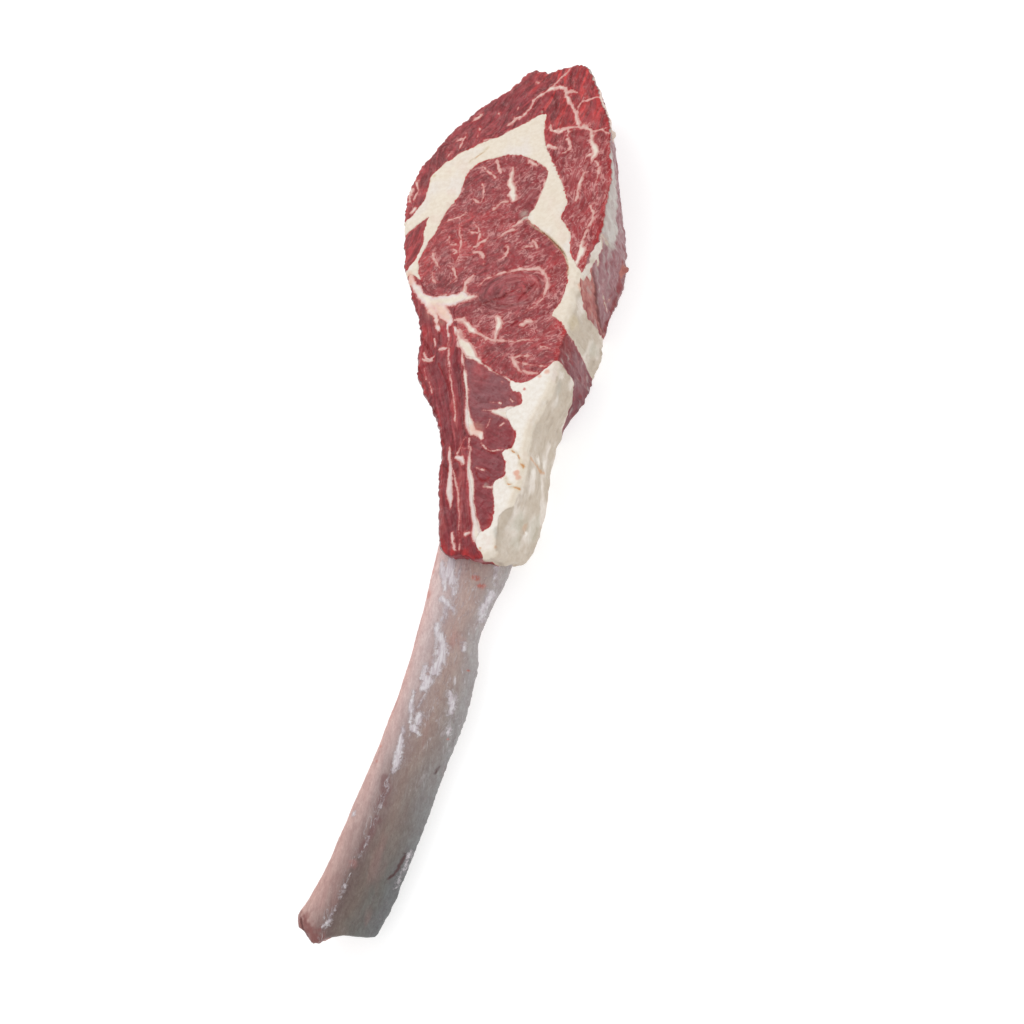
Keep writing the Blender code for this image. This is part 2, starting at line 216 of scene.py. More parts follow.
STRIP_VEINS = (
    ((-12.5, 56, 0.3), (-10, 46.5, 0.6), (-7.5, 39, 1), (-5, 31, 1.3), (-3.5, 23, 0.8), (-2, 16, 1.5),
     (0, 10, 2.4), (2.5, 6, 2.3)),
    ((4, 5.5, 2.1), (7, 4.5, 2.1), (8, 2, 1.2)), ((1, 2, 0.8), (1.5, -3.5, 0.4), (-3, -2.5, 0.2)),
    ((-1, 3, 0.3), (-4.5, -6, 0.3)),
    ((2.5, -2.5, 0.5), (3, -8.5, 0.9), (3.5, -16, 1.7), (6.5, -25, 1.5), (9, -36, 1.4), (11.5, -44, 1.8),
     (14, -50.5, 2.7), (17.5, -55, 2.7)),
    ((-9, -2.5, 0.4), (-7.5, -12, 0.9), (-6, -21.5, 1.4), (-4.5, -29.5, 1.6), (-4, -35.5, 0.6)),
    ((-5, -15.5, 0.3), (-1, -27, 0.4), (2, -40.5, 0.4), (5, -57.5, 0.5)),
    ((0, -49.5, 0.5), (2.5, -57.5, 1.1)), ((-4.5, -8.5, 0.9), (-2, -8.5, 1.8), (0, -11.5, 1.1)),
    ((7, -49.5, 1.3), (9, -49, 0.8)), ((-30, 63.5, 0.2), (-29, 60, 0.5), (-29.5, 57.5, 0.2)),
    ((-29, 50, 0.2), (-32, 49, 0.5), (-35, 51, 0.3)), ((-33, 45, 0.2), (-30.5, 38.5, 0.4)),
    ((-28, 36.5, 0.2), (-25, 30, 0.3)),
)
LOBE_GAPS = (
    ((7, 18, 0.4), (13.5, 17.5, 0.8), (20.5, 18.5, 1.4), (26.5, 18.5, 1.1)),
    ((12, 17, 0.9), (17, 16, 1.9), (22, 14.5, 2.6), (26, 9.5, 1.6)),
    ((8.5, -1, 0.3), (13.5, -4.5, 0.4), (20.5, -5, 0.5)), ((8, -14, 0.4), (11.5, -15.5, 0.4)),
    ((14.5, -20, 0.3), (15.5, -22.5, 0.4)), ((13, -24.5, 0.6), (17.5, -25, 0.7)),
    ((9.5, 22.5, 0.4), (16, 21.5, 0.5)), ((21, 24, 0.4), (22.5, 22.5, 0.6)),
    ((17, 8.5, 0.3), (19, 10, 0.3)), ((11, 12.5, 0.3), (10, 8.5, 0.3)),
)
BONE_DUST = (
    ((7.5, 234.5, 0.5), (8, 234, 0.4)), ((-2, 216, 0.5), (-2.3, 216.5, 0.4)),
    ((-14.5, 214, 0.6), (-14, 213.5, 0.4)), ((14.5, 34.5, 0.5), (14.7, 34, 0.4)),
)
FAT_VEINS = CAP_VEINS + EYE_VEINS + KNOT_VEINS + STRIP_VEINS + LOBE_GAPS + BONE_DUST

# Cuts in the lean, cracks in the fat and the dark line at the fat's lobe: x, y, half width
SLITS = (
    ((-5.5, 82.5, 0.3), (2, 85, 0.5), (7, 85.5, 0.5), (10, 88, 0.3), (14.5, 89.5, 0.2)),
    ((17, 83.5, 0.2), (19.5, 86.5, 0.4), (27, 94.5, 0.2)), ((4.5, 82, 0.2), (13.5, 80, 0.3)),
    ((4, 117.5, 0.3), (5.5, 114.5, 0.5)), ((15, 68.5, 0.3), (18, 70, 0.3)),
    ((35.5, 74, 0.5), (39, 71.5, 0.4)), ((-37.5, 64, 0.4), (-29.5, 53, 0.5)),
    ((-36.5, 46, 0.5), (-32.5, 37.5, 0.4)), ((-24.5, 23, 0.3), (-21, 17, 0.3)),
    ((-24.5, 47.5, 0.3), (-16, 33.5, 0.4), (-13, 22.5, 0.2)), ((-12, -12, 0.4), (-6, -17.5, 0.2)),
    ((11, -3, 0.2), (14, -5.5, 0.4), (17, -6.5, 0.2)),
    ((9, -14.5, 0), (13.5, -15, 0.2), (15.7, -17, 0.1)),
    ((7.4, -15.5, 0.1), (9, -19, 0.2), (12.7, -21.5, 0.3), (15.8, -19.7, 0.1)),
    ((18.5, 222, 0.5), (22, 217, 0.9), (23, 209, 0.5)), ((14, 213, 0.3), (15.5, 206, 0.3)),
    ((28.5, 237, 0.4), (29.5, 228, 0.5), (31, 222, 0.2)), ((26, 222, 0.4), (28, 220, 0.4)),
)
FAT_CRACKS = (
    ((-27.5, 182, 0), (-22.5, 185.5, 0.05), (-17.5, 190, 0)),
    ((24.5, -3, 0.2), (26.5, -6, 0.3), (29, -7, 0.3), (31.5, -11.5, 0.3), (33.5, -14, 0.1)),
    ((24, -19.5, 0.3), (25.5, -22, 0.4), (27.5, -23.5, 0.2)),
    ((28, -25, 0.2), (30, -25, 0.3), (32.5, -25.5, 0.4), (33.5, -27, 0.2)),
)
LOBE_LINE = (
    ((15, 134.5, 0.1), (19, 130.5, 0.2), (23, 127.5, 0.2), (28.5, 123, 0.3), (32, 119, 0.5),
     (37, 113.5, 0.5), (40, 109, 0.3), (42, 104, 0.1), (43.5, 96, 0.1)),
)
# Left edge of the worn lower corner of the fat block: y, x
BLOCK_CORNER = ((-64, 26), (-54, 24.5), (-46, 24), (-40, 24.5), (-37, 27), (-35, 30.5), (-32, 34))
# Stains and blushes of colour: x, y, radius, colour, strength
STAINS = (
    (30.2, -17.4, 2.2, "orange", 0.7), (31.3, -19.8, 2, "orange", 0.6), (28, 29, 1.2, "red", 0.8),
    (39, 38.5, 2, "orange", 0.6), (35.5, 36, 1.5, "orange", 0.5), (-33, 82, 9, "blush", 0.45),
    (-27, 76.5, 7, "blush", 0.4), (-59, 116.5, 3, "orange", 0.5), (33.5, -29, 0.9, "red", 0.8),
    (12.5, 139.5, 4.5, "grey", 0.8), (49, 33, 5, "grey", 0.7), (24, -48.5, 3.5, "grey", 0.5),
    (14, 210.5, 1.8, "grey", 0.9), (14.5, -23.5, 2, "grey", 0.6), (-50, 175.5, 1.6, "tan", 0.7),
    (-52.5, 171.5, 1.4, "tan", 0.6), (-54, 104, 6, "blush", 0.6), (4, 8, 6, "blush", 0.5),
    (16.5, -57, 1, "amber", 0.6), (24.5, -56, 1.1, "amber", 0.6),
)
# Turns the fine grit, so that no row of its bumps runs along the drawing's axes
GRIT_TURN = np.array([[0.82, 0.57], [-0.57, 0.82]])

# Fat on the right side: height, then the lowest and highest y of the fat band, and the top of the fat block
RIGHT_SIDE_FAT = (
    (0, 53, 78, 16), (4, 53, 78, 20), (13, 55, 78, 30), (16, 56, 78, 35), (22, 57, 79, 41),
    (31, 60, 81, 43), (35, 61, 86, 44), (40, 62, 92, 46),
)
# Patches, creases, red parts and cracks on the right side: y, z, half width
RIGHT_SIDE_WHITE = (
    ((119, 38, 1), (114, 37, 2.6), (109, 36, 2.4), (104, 37, 1.6), (100, 37, 2.2), (95, 38, 1.6)),
    ((110, 34, 1.6), (107, 31, 0.6)), ((100, 35, 1.4), (97, 32, 0.4)), ((121, 38, 0.9), (120, 31, 0.6)),
    ((-1, 12, 1), (2, 17, 0.8)), ((34, 33, 1), (34, 25, 0.6)), ((98, 19, 0.3), (92, 8, 0.4)),
    ((99, 10, 0.3), (94, 13, 0.3)), ((232, 37, 1.5), (215, 37, 2.4), (200, 36, 2.8), (189, 35, 2.6)),
)
CREASE = ((103, 34, 0.3), (96, 26, 0.7), (90, 20, 0.9), (84, 12, 0.7), (81, 6, 0.3))
RIGHT_SIDE_CREASES = (CREASE, ((105, 11, 0.3), (104, 6, 0.6), (101, 2, 0.3)))
RIGHT_SIDE_RED = (
    ((122, 11, 1.2), (111, 7, 2), (104, 5, 1.5), (89, 4, 1.4), (83, 5, 1.2)),
    ((57, 39, 2), (54, 33, 1.6), (50, 27, 0.6)), ((40, 10, 0.5), (40, 8, 0.5)),
)
RIGHT_SIDE_CRACKS = (((-8, 37, 0.2), (-8.5, 32, 0.5), (-8, 26, 0.6), (-8.5, 20, 0.6), (-6.5, 14, 0)),)
# Lower edge of the pale membrane on the right side: y, z
MEMBRANE_EDGE = ((118, 27), (123, 22), (136, 22), (149, 26), (161, 30), (169, 34), (177, 38))
# Stains on the right side, and a ring of painted shade in a pit: y, z, radius, colour, strength
RIGHT_SIDE_STAINS = (
    (32, 34, 6, "grey", 0.4), (27, 30, 5, "grey", 0.15), (38, 36, 4, "fat_white", 0.8),
    (-40, 30, 9, "green", 0.5), (-36, 12, 10, "green", 0.4), (-50, 26, 7, "green", 0.4),
    # The faint amber ring at y -40, z 23 round a white flake is painted shade in a pit.
    (-40, 23, 3.4, "amber", 0.25), (-42, 20, 2, "fat_block", 1), (-4.5, 26, 3.2, "fat_block", 0.9),
    (-3, 17, 3.4, "fat_block", 0.9), (-14, 31, 4, "fat_block", 0.8), (70, 36, 6, "tan", 0.4),
    (90, 38, 3, "orange", 0.5), (66, 12, 7, "green", 0.4), (112, 38, 9, "fat_white", 0.8),
    (100, 37, 7, "fat_white", 0.7), (208, 37, 34, "fat_pink", 1), (118, 8, 5, "salmon", 0.9),
)
# Bits that stick out of the side: x, y, z, radius, how far
NUBS = ((62, 118.5, 8, 3.6, 3.2), (56, 190, 36, 4, 1.9), (55, 112, 37, 4, 1.3), (51, 101, 37, 3.5, 1.1))

# Each node's lean and fat colours, how much fine marbling it has, the way its fibres run in degrees, how
# quickly the pattern varies along and across them, and how far into a vein its redder border reaches
Look = namedtuple("Look", "lean fat marbling angle rates red_border")
NODE_LOOKS = {
    "cap_muscle": Look("lean", "fat_pink", 0.34, 55, (0.7, 1.0), 0.6),
    "seam_fat": Look("lean_bright", "fat", 0.0, 60, (1.0, 1.0), 0.0),
    "edge_muscle": Look("lean", "fat_pink", 0.2, 75, (0.6, 1.2), 0.6),
    "eye_muscle": Look("lean", "fat_pink", 0.85, 32, (1.0, 1.0), 0.7),
    "rib_strips": Look("strip", "fat_lilac", 0.1, 104, (0.3, 1.2), 0.2),
    "lower_muscle": Look("lobe", "fat_white", 0.02, 150, (0.8, 1.2), 0.1),
    "fat_cap": Look("lean_bright", "fat", 0.0, 100, (1.0, 1.0), 0.0),
}
CAP_TIP_GRAIN = 80
# How much redder than the first the lower lobes are: y, share
LOBE_REDNESS = ((-30, 0.75), (-22, 0.7), (-14, 0.35), (-6, 0.6), (6, 0.8), (13, 0.4), (19, 0))
# Right ends of the lobes, where they are a fresher red: y, x
LOBE_TIPS = ((-60, 20), (-46, 19), (-30, 24), (0, 27), (20, 28), (30, 24))
# The oval muscle low in the eye, whose fibres run in rings: middle, half sizes and turn in degrees
OVAL_MIDDLE = (12.5, 90)
OVAL_SIZE = (20.5, 12.5)
OVAL_TURN = 6
# The vein that parts the cap's upper left from its tip: x, y
CAP_DIVIDE = ((-70, 196), (-10, 200), (2, 210), (9, 221), (18, 227), (25, 260))

# Display colours of the meat and fat, from 0 to 255
SHADES = {
    "lean": (143, 38, 44), "lean_bright": (192, 46, 46), "lean_dark": (112, 30, 40),
    "lobe": (132, 62, 68), "strip": (136, 37, 45), "strip_light": (176, 80, 80),
    "strip_dark": (112, 34, 42), "slit": (134, 12, 20), "marbling": (214, 150, 146),
    "vein": (216, 164, 156), "fat": (233, 221, 204), "fat_white": (232, 222, 212),
    "fat_pink": (230, 206, 194), "fat_lilac": (228, 211, 208), "fat_side_shade": (200, 186, 169),
    "fat_shade": (172, 156, 138), "fat_block": (240, 233, 224), "orange": (224, 150, 120),
    "red": (200, 80, 70), "blush": (230, 164, 144), "grey": (168, 166, 154), "green": (178, 174, 154),
    "tan": (214, 196, 158), "amber": (204, 134, 62), "olive": (124, 88, 44), "membrane": (192, 182, 176),
    "membrane_pink": (160, 108, 112), "membrane_mauve": (156, 110, 114), "side_lean": (120, 61, 68),
    "side_red": (132, 40, 44), "salmon": (188, 116, 106), "crease_shade": (112, 50, 46),
    "vein_edge": (206, 112, 104),
}

# Rib bone, from its sawn end to the hidden end in the meat: y, left x, right x, lowest z, highest z
RIB_ROWS = (
    (-241, -52, -25, 6, 24), (-240, -55, -22, 5, 26), (-234, -57, -20, 4, 28), (-224, -52, -16, 4, 28),
    (-207, -45, -11, 5, 28), (-186, -39, -5, 5, 28), (-163, -33, 0, 5, 28), (-136, -26, 7, 6, 28),
    (-112, -21, 10, 6, 28), (-96, -19, 9, 7, 28), (-80, -17, 14, 7, 29), (-66, -16, 19, 7, 30),
    (-54, -15, 22, 8, 30), (-38, -14, 19, 9, 29), (-14, -13, 17, 10, 28), (14, -14, 13, 11, 28),
    (40, -18, 8, 12, 27), (54, -19, 4, 14, 25),
)
# The rib's section in a unit square: a narrow upper strip, a ridge and a broad slope to the right
RIB_SECTION = (
    (0, 0.62), (0.06, 0.87), (0.24, 0.97), (0.45, 1), (0.63, 0.8), (0.82, 0.48), (0.97, 0.22),
    (0.98, 0.06), (0.8, 0), (0.45, 0.02), (0.16, 0.14), (0.03, 0.36),
)
RIB_SPACING = 0.62
RIB_SIDES = 180
SAWN_END_STEPS = 14

# Display colours of the bone, and those across it, from its left side over the ridge to its right edge:
# share of the way across, the colour near the meat and the colour at the sawn end
BONE_SHADES = {
    "film": (202, 190, 196), "film_white": (228, 223, 226), "blush": (180, 124, 120),
    "orange": (190, 100, 84), "streak": (124, 88, 88), "knob": (130, 76, 72), "slit": (84, 34, 34),
    "pore": (140, 96, 94), "cut_rim": (222, 205, 190), "marrow": (150, 62, 56),
}
# Right of the ridge the tones are darker, partly with painted shade on the slope that faces away from the
# light.
BONE_SHADED_TONES = (
    (0, (214, 172, 165), (204, 164, 155)), (0.18, (214, 190, 186), (190, 157, 150)),
    (0.36, (202, 184, 182), (152, 126, 121)), (0.52, (190, 168, 165), (110, 91, 87)),
    (0.66, (188, 162, 153), (116, 102, 94)), (0.8, (178, 159, 153), (106, 103, 98)),
    (0.96, (180, 174, 172), (110, 111, 111)),
)
# Where the colours near the meat end, and where those of the sawn end begin
BONE_TURN = (-80, -215)
# Scraped membrane, dark streaks and slits on the bone's upper side: x, y, half width
BONE_FILM = (
    ((-3, -60, 2), (-2.5, -67, 2.3), (-0.5, -72, 1.7), (0, -77, 1.2)),
    ((-8, -62, 1.4), (-6, -69, 1.7), (-4, -75, 1.2)), ((-5, -80, 1.2), (-2, -82, 1.4), (0.5, -85, 0.9)),
    ((-2.5, -84, 0.9), (-4, -90, 0.7)),
    ((-6, -93, 1.2), (-4.5, -98, 1.7), (-3, -103, 2), (-3, -110, 2), (-4.5, -116, 2)),
    ((-8.5, -114, 1.7), (-9, -119, 1.7), (-6.5, -121, 2.3), (-9, -125, 1.2)),
    ((-12.5, -127, 0.9), (-12.5, -134, 1), (-12, -141, 0.9)), ((-8, -137, 1.7), (-9, -141, 1.2)),
    ((-10.5, -144, 1.7), (-8.5, -146, 1.2)),
    ((-15, -145, 0.7), (-15.5, -151, 1.3), (-15.5, -158, 1.9), (-16, -163, 1.2), (-17, -165, 0.6)),
    ((14, -72, 1.2), (12.5, -77, 1.2), (11, -81, 1.3), (10, -86, 0.9)),
    ((16.5, -58, 0.7), (15, -67, 0.9)), ((4.5, -99, 1), (5, -102, 0.9)),
    ((2, -124, 0.9), (3, -129, 1.2), (2, -135, 0.9)), ((2.5, -141, 0.9), (2, -144, 0.7)),
    ((-34, -186, 0.7), (-34.5, -187, 0.6)), ((-32, -218, 0.2), (-33.5, -223, 0.2)),
    ((-37, -234, 0.7), (-40, -237, 0.5)),
    ((-9.5, -199, 0), (-11.5, -206, 0), (-13.5, -212, 0), (-15, -217, -0.3)),
)
BONE_STREAKS = (
    ((-21, -168, 1.7), (-19.5, -174, 2), (-20.5, -181, 1.4)),
    ((-21.5, -187, 1.4), (-24, -196, 1.2), (-28, -203, 1.2)),
)
BONE_SLITS = (
    ((-11.5, -201, 0.3), (-13.5, -206, 0.5), (-15, -210, 0.5), (-17.5, -213, 0.2)),
    ((-1, -159, 0.2), (-2.5, -163, 0.3)), ((-53, -236, 0.4), (-50, -240.5, 0.9), (-48, -243, 0.6)),
)
# Spots of colour: x, y, radius, colour, strength
BONE_SPOTS = (
    (8.5, -67, 2.2, "orange", 0.8), (10.5, -70, 2, "orange", 0.9), (-15, -66, 3, "orange", 0.4),
    (-15, -77, 3.5, "orange", 0.5), (-27, -154, 1.2, "orange", 0.6), (-27.5, -161, 1.4, "orange", 0.6),
    (7.5, -112, 0.9, "orange", 0.9), (2, -146, 0.8, "orange", 0.7), (-52, -238, 8, "knob", 0.85),
    (-45, -243, 8, "knob", 0.85), (-30, -208, 3, "blush", 0.4), (1, -99, 6, "blush", 0.25),
)
# Heights above which the bone has slits, above which it has film, and above which spots and smears
SLITS_FROM = 5
FILM_FROM = 6
SPOTS_FROM = 9
# The ridge between the two slopes as a share of the way across, with a crumbly line of film along it
RIDGE = 0.5
RIDGE_FILM = -0.3
BONE_WIDTH = 34.0
# Middle of the rough knob at the sawn end's upper left corner
KNOB = (-51, -238, 20)
# How far the sawn end stands back from its plane: x, distance
SAWN_END = ((-57, 0), (-52, 1), (-49, -1.5), (-45, -4.2), (-41.5, -3.3), (-38, -0.6), (-33, 1), (-22, 1))


def linear(shade):
    """A display colour from 0 to 255 as linear light."""
    share = np.array(shade) / 255
    return np.where(share <= 0.04045, share / 12.92, ((share + 0.055) / 1.055) ** 2.4)


COLOURS = {name: linear(shade) for name, shade in SHADES.items()}
BONE_COLOURS = {name: linear(shade) for name, shade in BONE_SHADES.items()}


def placed(points):
    """Drawn points in metres from the origin."""
    return (points - (*DRAWING_CENTRE, 0)) * MM


def raised(points, height):
    """Plane points with a height added, the same for all or one for each."""
    return np.column_stack([points, np.broadcast_to(height, len(points))])


def between(places, rows):
    """Values at some places, straight between a table's rows, which each hold a place and its value."""
    known, values = np.array(rows).T
    return np.interp(places, known, values)


def turned(points, degrees):
    """Where the points lie along and across a direction that is turned by an angle."""
    angle = np.radians(degrees)
    x, y = points.T
    return x * np.cos(angle) + y * np.sin(angle), y * np.cos(angle) - x * np.sin(angle)


def smooth_curve(points, spacing, closed=False):
    """Points about `spacing` apart, measured in the first two columns, on a curve through `points`."""
    knots = np.array(points, dtype=float)
    if closed:
        knots = np.vstack([knots[-1:], knots, knots[:2]])
    else:
        knots = np.vstack([2 * knots[0] - knots[1], knots, 2 * knots[-1] - knots[-2]])
    step = np.linspace(0, 1, SAMPLES_PER_SPAN, endpoint=False)[:, None]
    spans = []
    for a, b, c, d in zip(knots, knots[1:], knots[2:], knots[3:]):
        cubic = 3 * (b - c) + d - a
        square = 2 * a - 5 * b + 4 * c - d
        spans.append(b + 0.5 * step * ((c - a) + step * (square + step * cubic)))
    fine = np.vstack(spans + [knots[-2:-1]])
    reach = np.concatenate([[0], np.cumsum(np.linalg.norm(np.diff(fine[:, :2], axis=0), axis=1))])
    count = max(2, round(reach[-1] / spacing))
    places = np.linspace(0, reach[-1], count + 1)
    even = np.stack([np.interp(places, reach, column) for column in fine.T], axis=1)
    return even[:-1] if closed else even


def extended(line):
    """An open line with both ends drawn out by SEAM_OVERRUN, so that it crosses what it ends on."""
    points = np.array(line, dtype=float)
    start, end = points[0] - points[1], points[-1] - points[-2]
    points[0] += SEAM_OVERRUN * start / np.linalg.norm(start)
    points[-1] += SEAM_OVERRUN * end / np.linalg.norm(end)
    return points


def outward_normals(loop):
    """Unit normals of a clockwise closed loop, pointing away from its inside."""
    along = np.roll(loop, -1, axis=0) - np.roll(loop, 1, axis=0)
    normals = np.stack([-along[:, 1], along[:, 0]], axis=1)
    return normals / np.linalg.norm(normals, axis=1, keepdims=True)


def soft_step(value, low, high):
    """0 below `low`, 1 above `high`, and an even turn between."""
    part = np.clip((value - low) / (high - low), 0, 1)
    return part * part * (3 - 2 * part)


def hashed(cells, seed):
    """A random number from -1 to 1 for each whole-number cell."""
    primes = np.array([73856093, 19349663, 83492791][:cells.shape[1]])
    mixed = np.bitwise_xor.reduce(cells * primes, axis=1) ^ (seed * 2654435761)
    mixed = (mixed ^ (mixed >> 13)) * 1274126177
    return ((mixed ^ (mixed >> 16)) & 0xFFFF) / 32767.5 - 1


def noise(points, size, seed):
    """Smooth random values from -1 to 1, with bumps about `size` millimetres wide."""
    scaled = points / size
    corner = np.floor(scaled).astype(np.int64)
    part = scaled - corner
    blend = part * part * (3 - 2 * part)
    total = np.zeros(len(points))
    for offset in itertools.product((0, 1), repeat=points.shape[1]):
        weight = np.prod(np.where(offset, blend, 1 - blend), axis=1)
        total += weight * hashed(corner + np.array(offset), seed)
    return total


def layered_noise(points, size, seed):
    """Noise with two finer and weaker layers on top."""
    layers = [noise(points, size / 2 ** layer, seed + layer) / 2 ** layer for layer in range(3)]
    return sum(layers) / 1.5


def bumps(points, *layers):
    """The sum of several noises, each given by its strength, size and seed."""
    return sum(strength * noise(points, size, seed) for strength, size, seed in layers)


def wander(points, size, seed):
    """A smooth random shift from -1 to 1 in x and in y for each point."""
    return np.column_stack([noise(points, size, seed), noise(points, size, seed + 1)])


def gaps_to(targets, points):
    """Distance from each plane point to the nearest of the targets."""
    tree = KDTree(len(targets))
    for number, (x, y) in enumerate(targets):
        tree.insert((x, y, 0), number)
    tree.balance()
    return np.array([tree.find((x, y, 0))[2] for x, y in points])


def stroke_reach(points, strokes):
    """How far inside the nearest stroke each point lies, in millimetres; negative outside."""
    best = np.full(len(points), -NEVER)
    for stroke in strokes:
        knots = smooth_curve(stroke, 2.5)
        low, high = knots[:, :2].min(axis=0) - 9, knots[:, :2].max(axis=0) + 9
        near = np.flatnonzero(np.all((points > low) & (points < high), axis=1))
        for start, end in zip(knots, knots[1:]):
            along = end[:2] - start[:2]
            offset = points[near] - start[:2]
            part = np.clip(offset @ along / (along @ along), 0, 1)
            gap = np.linalg.norm(offset - part[:, None] * along, axis=1)
            best[near] = np.maximum(best[near], start[2] + part * (end[2] - start[2]) - gap)
    return best


def spot_share(points, middle, radius, raggedness):
    """How much of a soft spot covers each point; the raggedness is a share of the radius."""
    gap = np.linalg.norm(points - middle, axis=1) + radius * raggedness
    return soft_step(-gap, -radius, -0.3 * radius)


def tinted(base, colour, share):
    """The base colours, mixed with another by a share for each point."""
    return base + (colour - base) * np.clip(share, 0, 1)[:, None]


def ragged_veins(points):
    """Reach of the veins with uneven widths and frayed edges, which run lengthwise in the strips."""
    shift = 0.9 * wander(points, 4.5, 35) + 0.3 * wander(points, 1.5, 43)
    in_strips = soft_step(-points[:, 1], -62, -52)
    shift *= 1 - 0.6 * in_strips[:, None]
    fray = 0.05 + bumps(points, (0.45, 2.6, 37), (0.4, 1.3, 38))
    strip_fray = 0.5 * noise(points * (1, 0.3), 2.2, 45)
    return stroke_reach(points + shift, FAT_VEINS) + fray + in_strips * (strip_fray - fray)


class Slab:
    """The slab's edge as rings of points from the face it lies on up to the cut face."""

    def __init__(self):
        edge = smooth_curve(MEAT_EDGE, SPACING, closed=True)
        self.count = len(edge)
        upper, lower = edge[:, :2], edge[:, 2:]
        middle = np.arange(LOW_RINGS[-1] + RING_STEP, HIGH_RINGS[0], RING_STEP)
        self.heights = np.concatenate([LOW_RINGS, middle, HIGH_RINGS])
        rings = []
        for height in self.heights:
            ring = lower + (upper - lower) * height / THICKNESS
            push = self.roughness(ring, height) - between(height, SIDE_RINGS)
            rings.append(raised(ring + outward_normals(ring) * push[:, None], height))
        self.rings = np.array(rings)

    def roughness(self, ring, height):
        """Ragged pushes of the side in millimetres, longer up and down than along it."""
        at = raised(ring, height / 3)
        x, y = ring.T
        rough = bumps(at, (0.55, 6.0, 11), (0.5, 2.8, 12), (0.45, 1.2, 13))
        chips = 1.1 * np.abs(noise(at * (1, 1, 1.5), 9.0, 14))
        chips -= 0.8 * np.abs(noise(at * (1, 1, 2), 5.0, 15))
        fat_block = soft_step(x, 5, 15) * soft_step(-y, -40, -30)
        total = rough * (1.3 - fat_block) + fat_block * chips
        total += soft_step(-y, 42, 52) * bumps(at, (1.1, 4.5, 16), (0.6, 2.0, 17))
        for nub_x, nub_y, nub_z, radius, reach in NUBS:
            gap = np.linalg.norm(ring - (nub_x, nub_y), axis=1) + abs(height - nub_z)
            total += reach * soft_step(-gap, -radius, -0.25 * radius)
        return total

    def column(self, place):
        """The side's points below a place on the rim, from the bottom up."""
        first = math.floor(place)
        near, far = self.rings[:, first % self.count], self.rings[:, (first + 1) % self.count]
        return near + (far - near) * (place - first)


def inside(points, loop):
    """Which points lie inside a closed loop."""
    result = np.zeros(len(points), dtype=bool)
    for (ax, ay), (bx, by) in zip(loop, np.roll(loop, -1, axis=0)):
        crosses = (ay > points[:, 1]) != (by > points[:, 1])
        if ay != by:
            result ^= crosses & (points[:, 0] < ax + (points[:, 1] - ay) * (bx - ax) / (by - ay))
    return result


def filling_points(rim, curves):
    """A jittered triangular grid inside the rim that keeps clear of the rim and the seams."""
    low, high = rim.min(axis=0), rim.max(axis=0)
    rows = np.arange(low[1], high[1], SPACING * math.sqrt(3) / 2)
    columns = np.arange(low[0], high[0], SPACING)
    grid = np.array([(x + SPACING / 2 * (row % 2), y) for row, y in enumerate(rows) for x in columns])
    cells = np.rint(grid * 10).astype(np.int64)
    grid += JITTER * np.column_stack([hashed(cells, seed) for seed in (3, 4)])
    grid = grid[inside(grid, rim[::2])]
    return grid[gaps_to(np.vstack(curves), grid) > CLEARANCE]


class CutFace:
    """The cut face as triangles, with the node that each is in and the points that are on the rim."""

    def __init__(self, slab):
        rim = slab.rings[-1][:, :2]
        seams = [smooth_curve(extended(seam), SPACING) for seam in SEAMS]
        fill = filling_points(rim, [rim] + seams)
        rim_edges = start = len(rim)
        edges = [(i, (i + 1) % rim_edges) for i in range(rim_edges)]
        for seam in seams:
            edges += [(i, i + 1) for i in range(start, start + len(seam) - 1)]
            start += len(seam)
        points = [Vector(point) for point in np.vstack([rim] + seams + [fill])]
        points, edges, triangles, _, sources, _ = delaunay_2d_cdt(points, edges, [], 0, 1e-5, True)
        self.points = np.array([tuple(point) for point in points])
        self.triangles = np.array(triangles)
        self.turn_anticlockwise()
        self.label_nodes({tuple(sorted(edge)) for edge, source in zip(edges, sources) if source})
        outer = [edge for edge, source in zip(edges, sources) if source and min(source) < rim_edges]
        self.rim_edges = {tuple(sorted(edge)) for edge in outer}
        self.on_rim = np.zeros(len(self.points), dtype=bool)
        self.on_rim[np.unique(outer)] = True
        self.rim_place = self.places_on(rim)

    def turn_anticlockwise(self):
        """Turns every triangle so that it faces up."""
        a, b, c = (self.points[self.triangles[:, corner]] for corner in range(3))
        u, v = b - a, c - a
        flipped = u[:, 0] * v[:, 1] < u[:, 1] * v[:, 0]
        self.triangles[flipped] = self.triangles[flipped][:, ::-1]

    def label_nodes(self, walls):
        """Spreads each node's number over its triangles, up to the seams and the rim."""
        count = len(self.triangles)
        sides = np.sort(sides_of(self.triangles), axis=1)
        order = np.lexsort(sides.T)
        ordered = sides[order]
        same = np.flatnonzero(np.all(ordered[1:] == ordered[:-1], axis=1))
        neighbours = np.full(count * 3, count)
        for first, second in zip(order[same], order[same + 1]):
            if tuple(sides[first]) not in walls:
                neighbours[first], neighbours[second] = second // 3, first // 3
        neighbours = neighbours.reshape(-1, 3)
        node = np.full(count + 1, -1)
        for number, spot in enumerate(MEAT_NODES.values()):
            front = np.array([self.triangle_at(spot)])
            while len(front):
                node[front] = number
                front = np.unique(neighbours[front])
                front = front[(front < count) & (node[front] < 0)]
        self.node = node[:-1]

    def triangle_at(self, spot):
        """The triangle whose middle is nearest to a spot."""
        middles = self.points[self.triangles].mean(axis=1)
        return int(np.argmin(np.linalg.norm(middles - spot, axis=1)))

    def places_on(self, rim):
        """For each point on the rim, its place along the loop, counted in rim points."""
        places = np.zeros(len(self.points))
        ahead = np.roll(rim, -1, axis=0) - rim
        for number in np.flatnonzero(self.on_rim):
            offset = self.points[number] - rim
            part = np.clip((offset * ahead).sum(axis=1) / (ahead * ahead).sum(axis=1), 0, 1)
            best = int(np.argmin(np.linalg.norm(offset - ahead * part[:, None], axis=1)))
            places[number] = best + part[best]
        return places


def sides_of(triangles):
    """The three sides of each triangle, one after another, as pairs of points."""
    return triangles[:, [[0, 1], [1, 2], [2, 0]]].reshape(-1, 2)


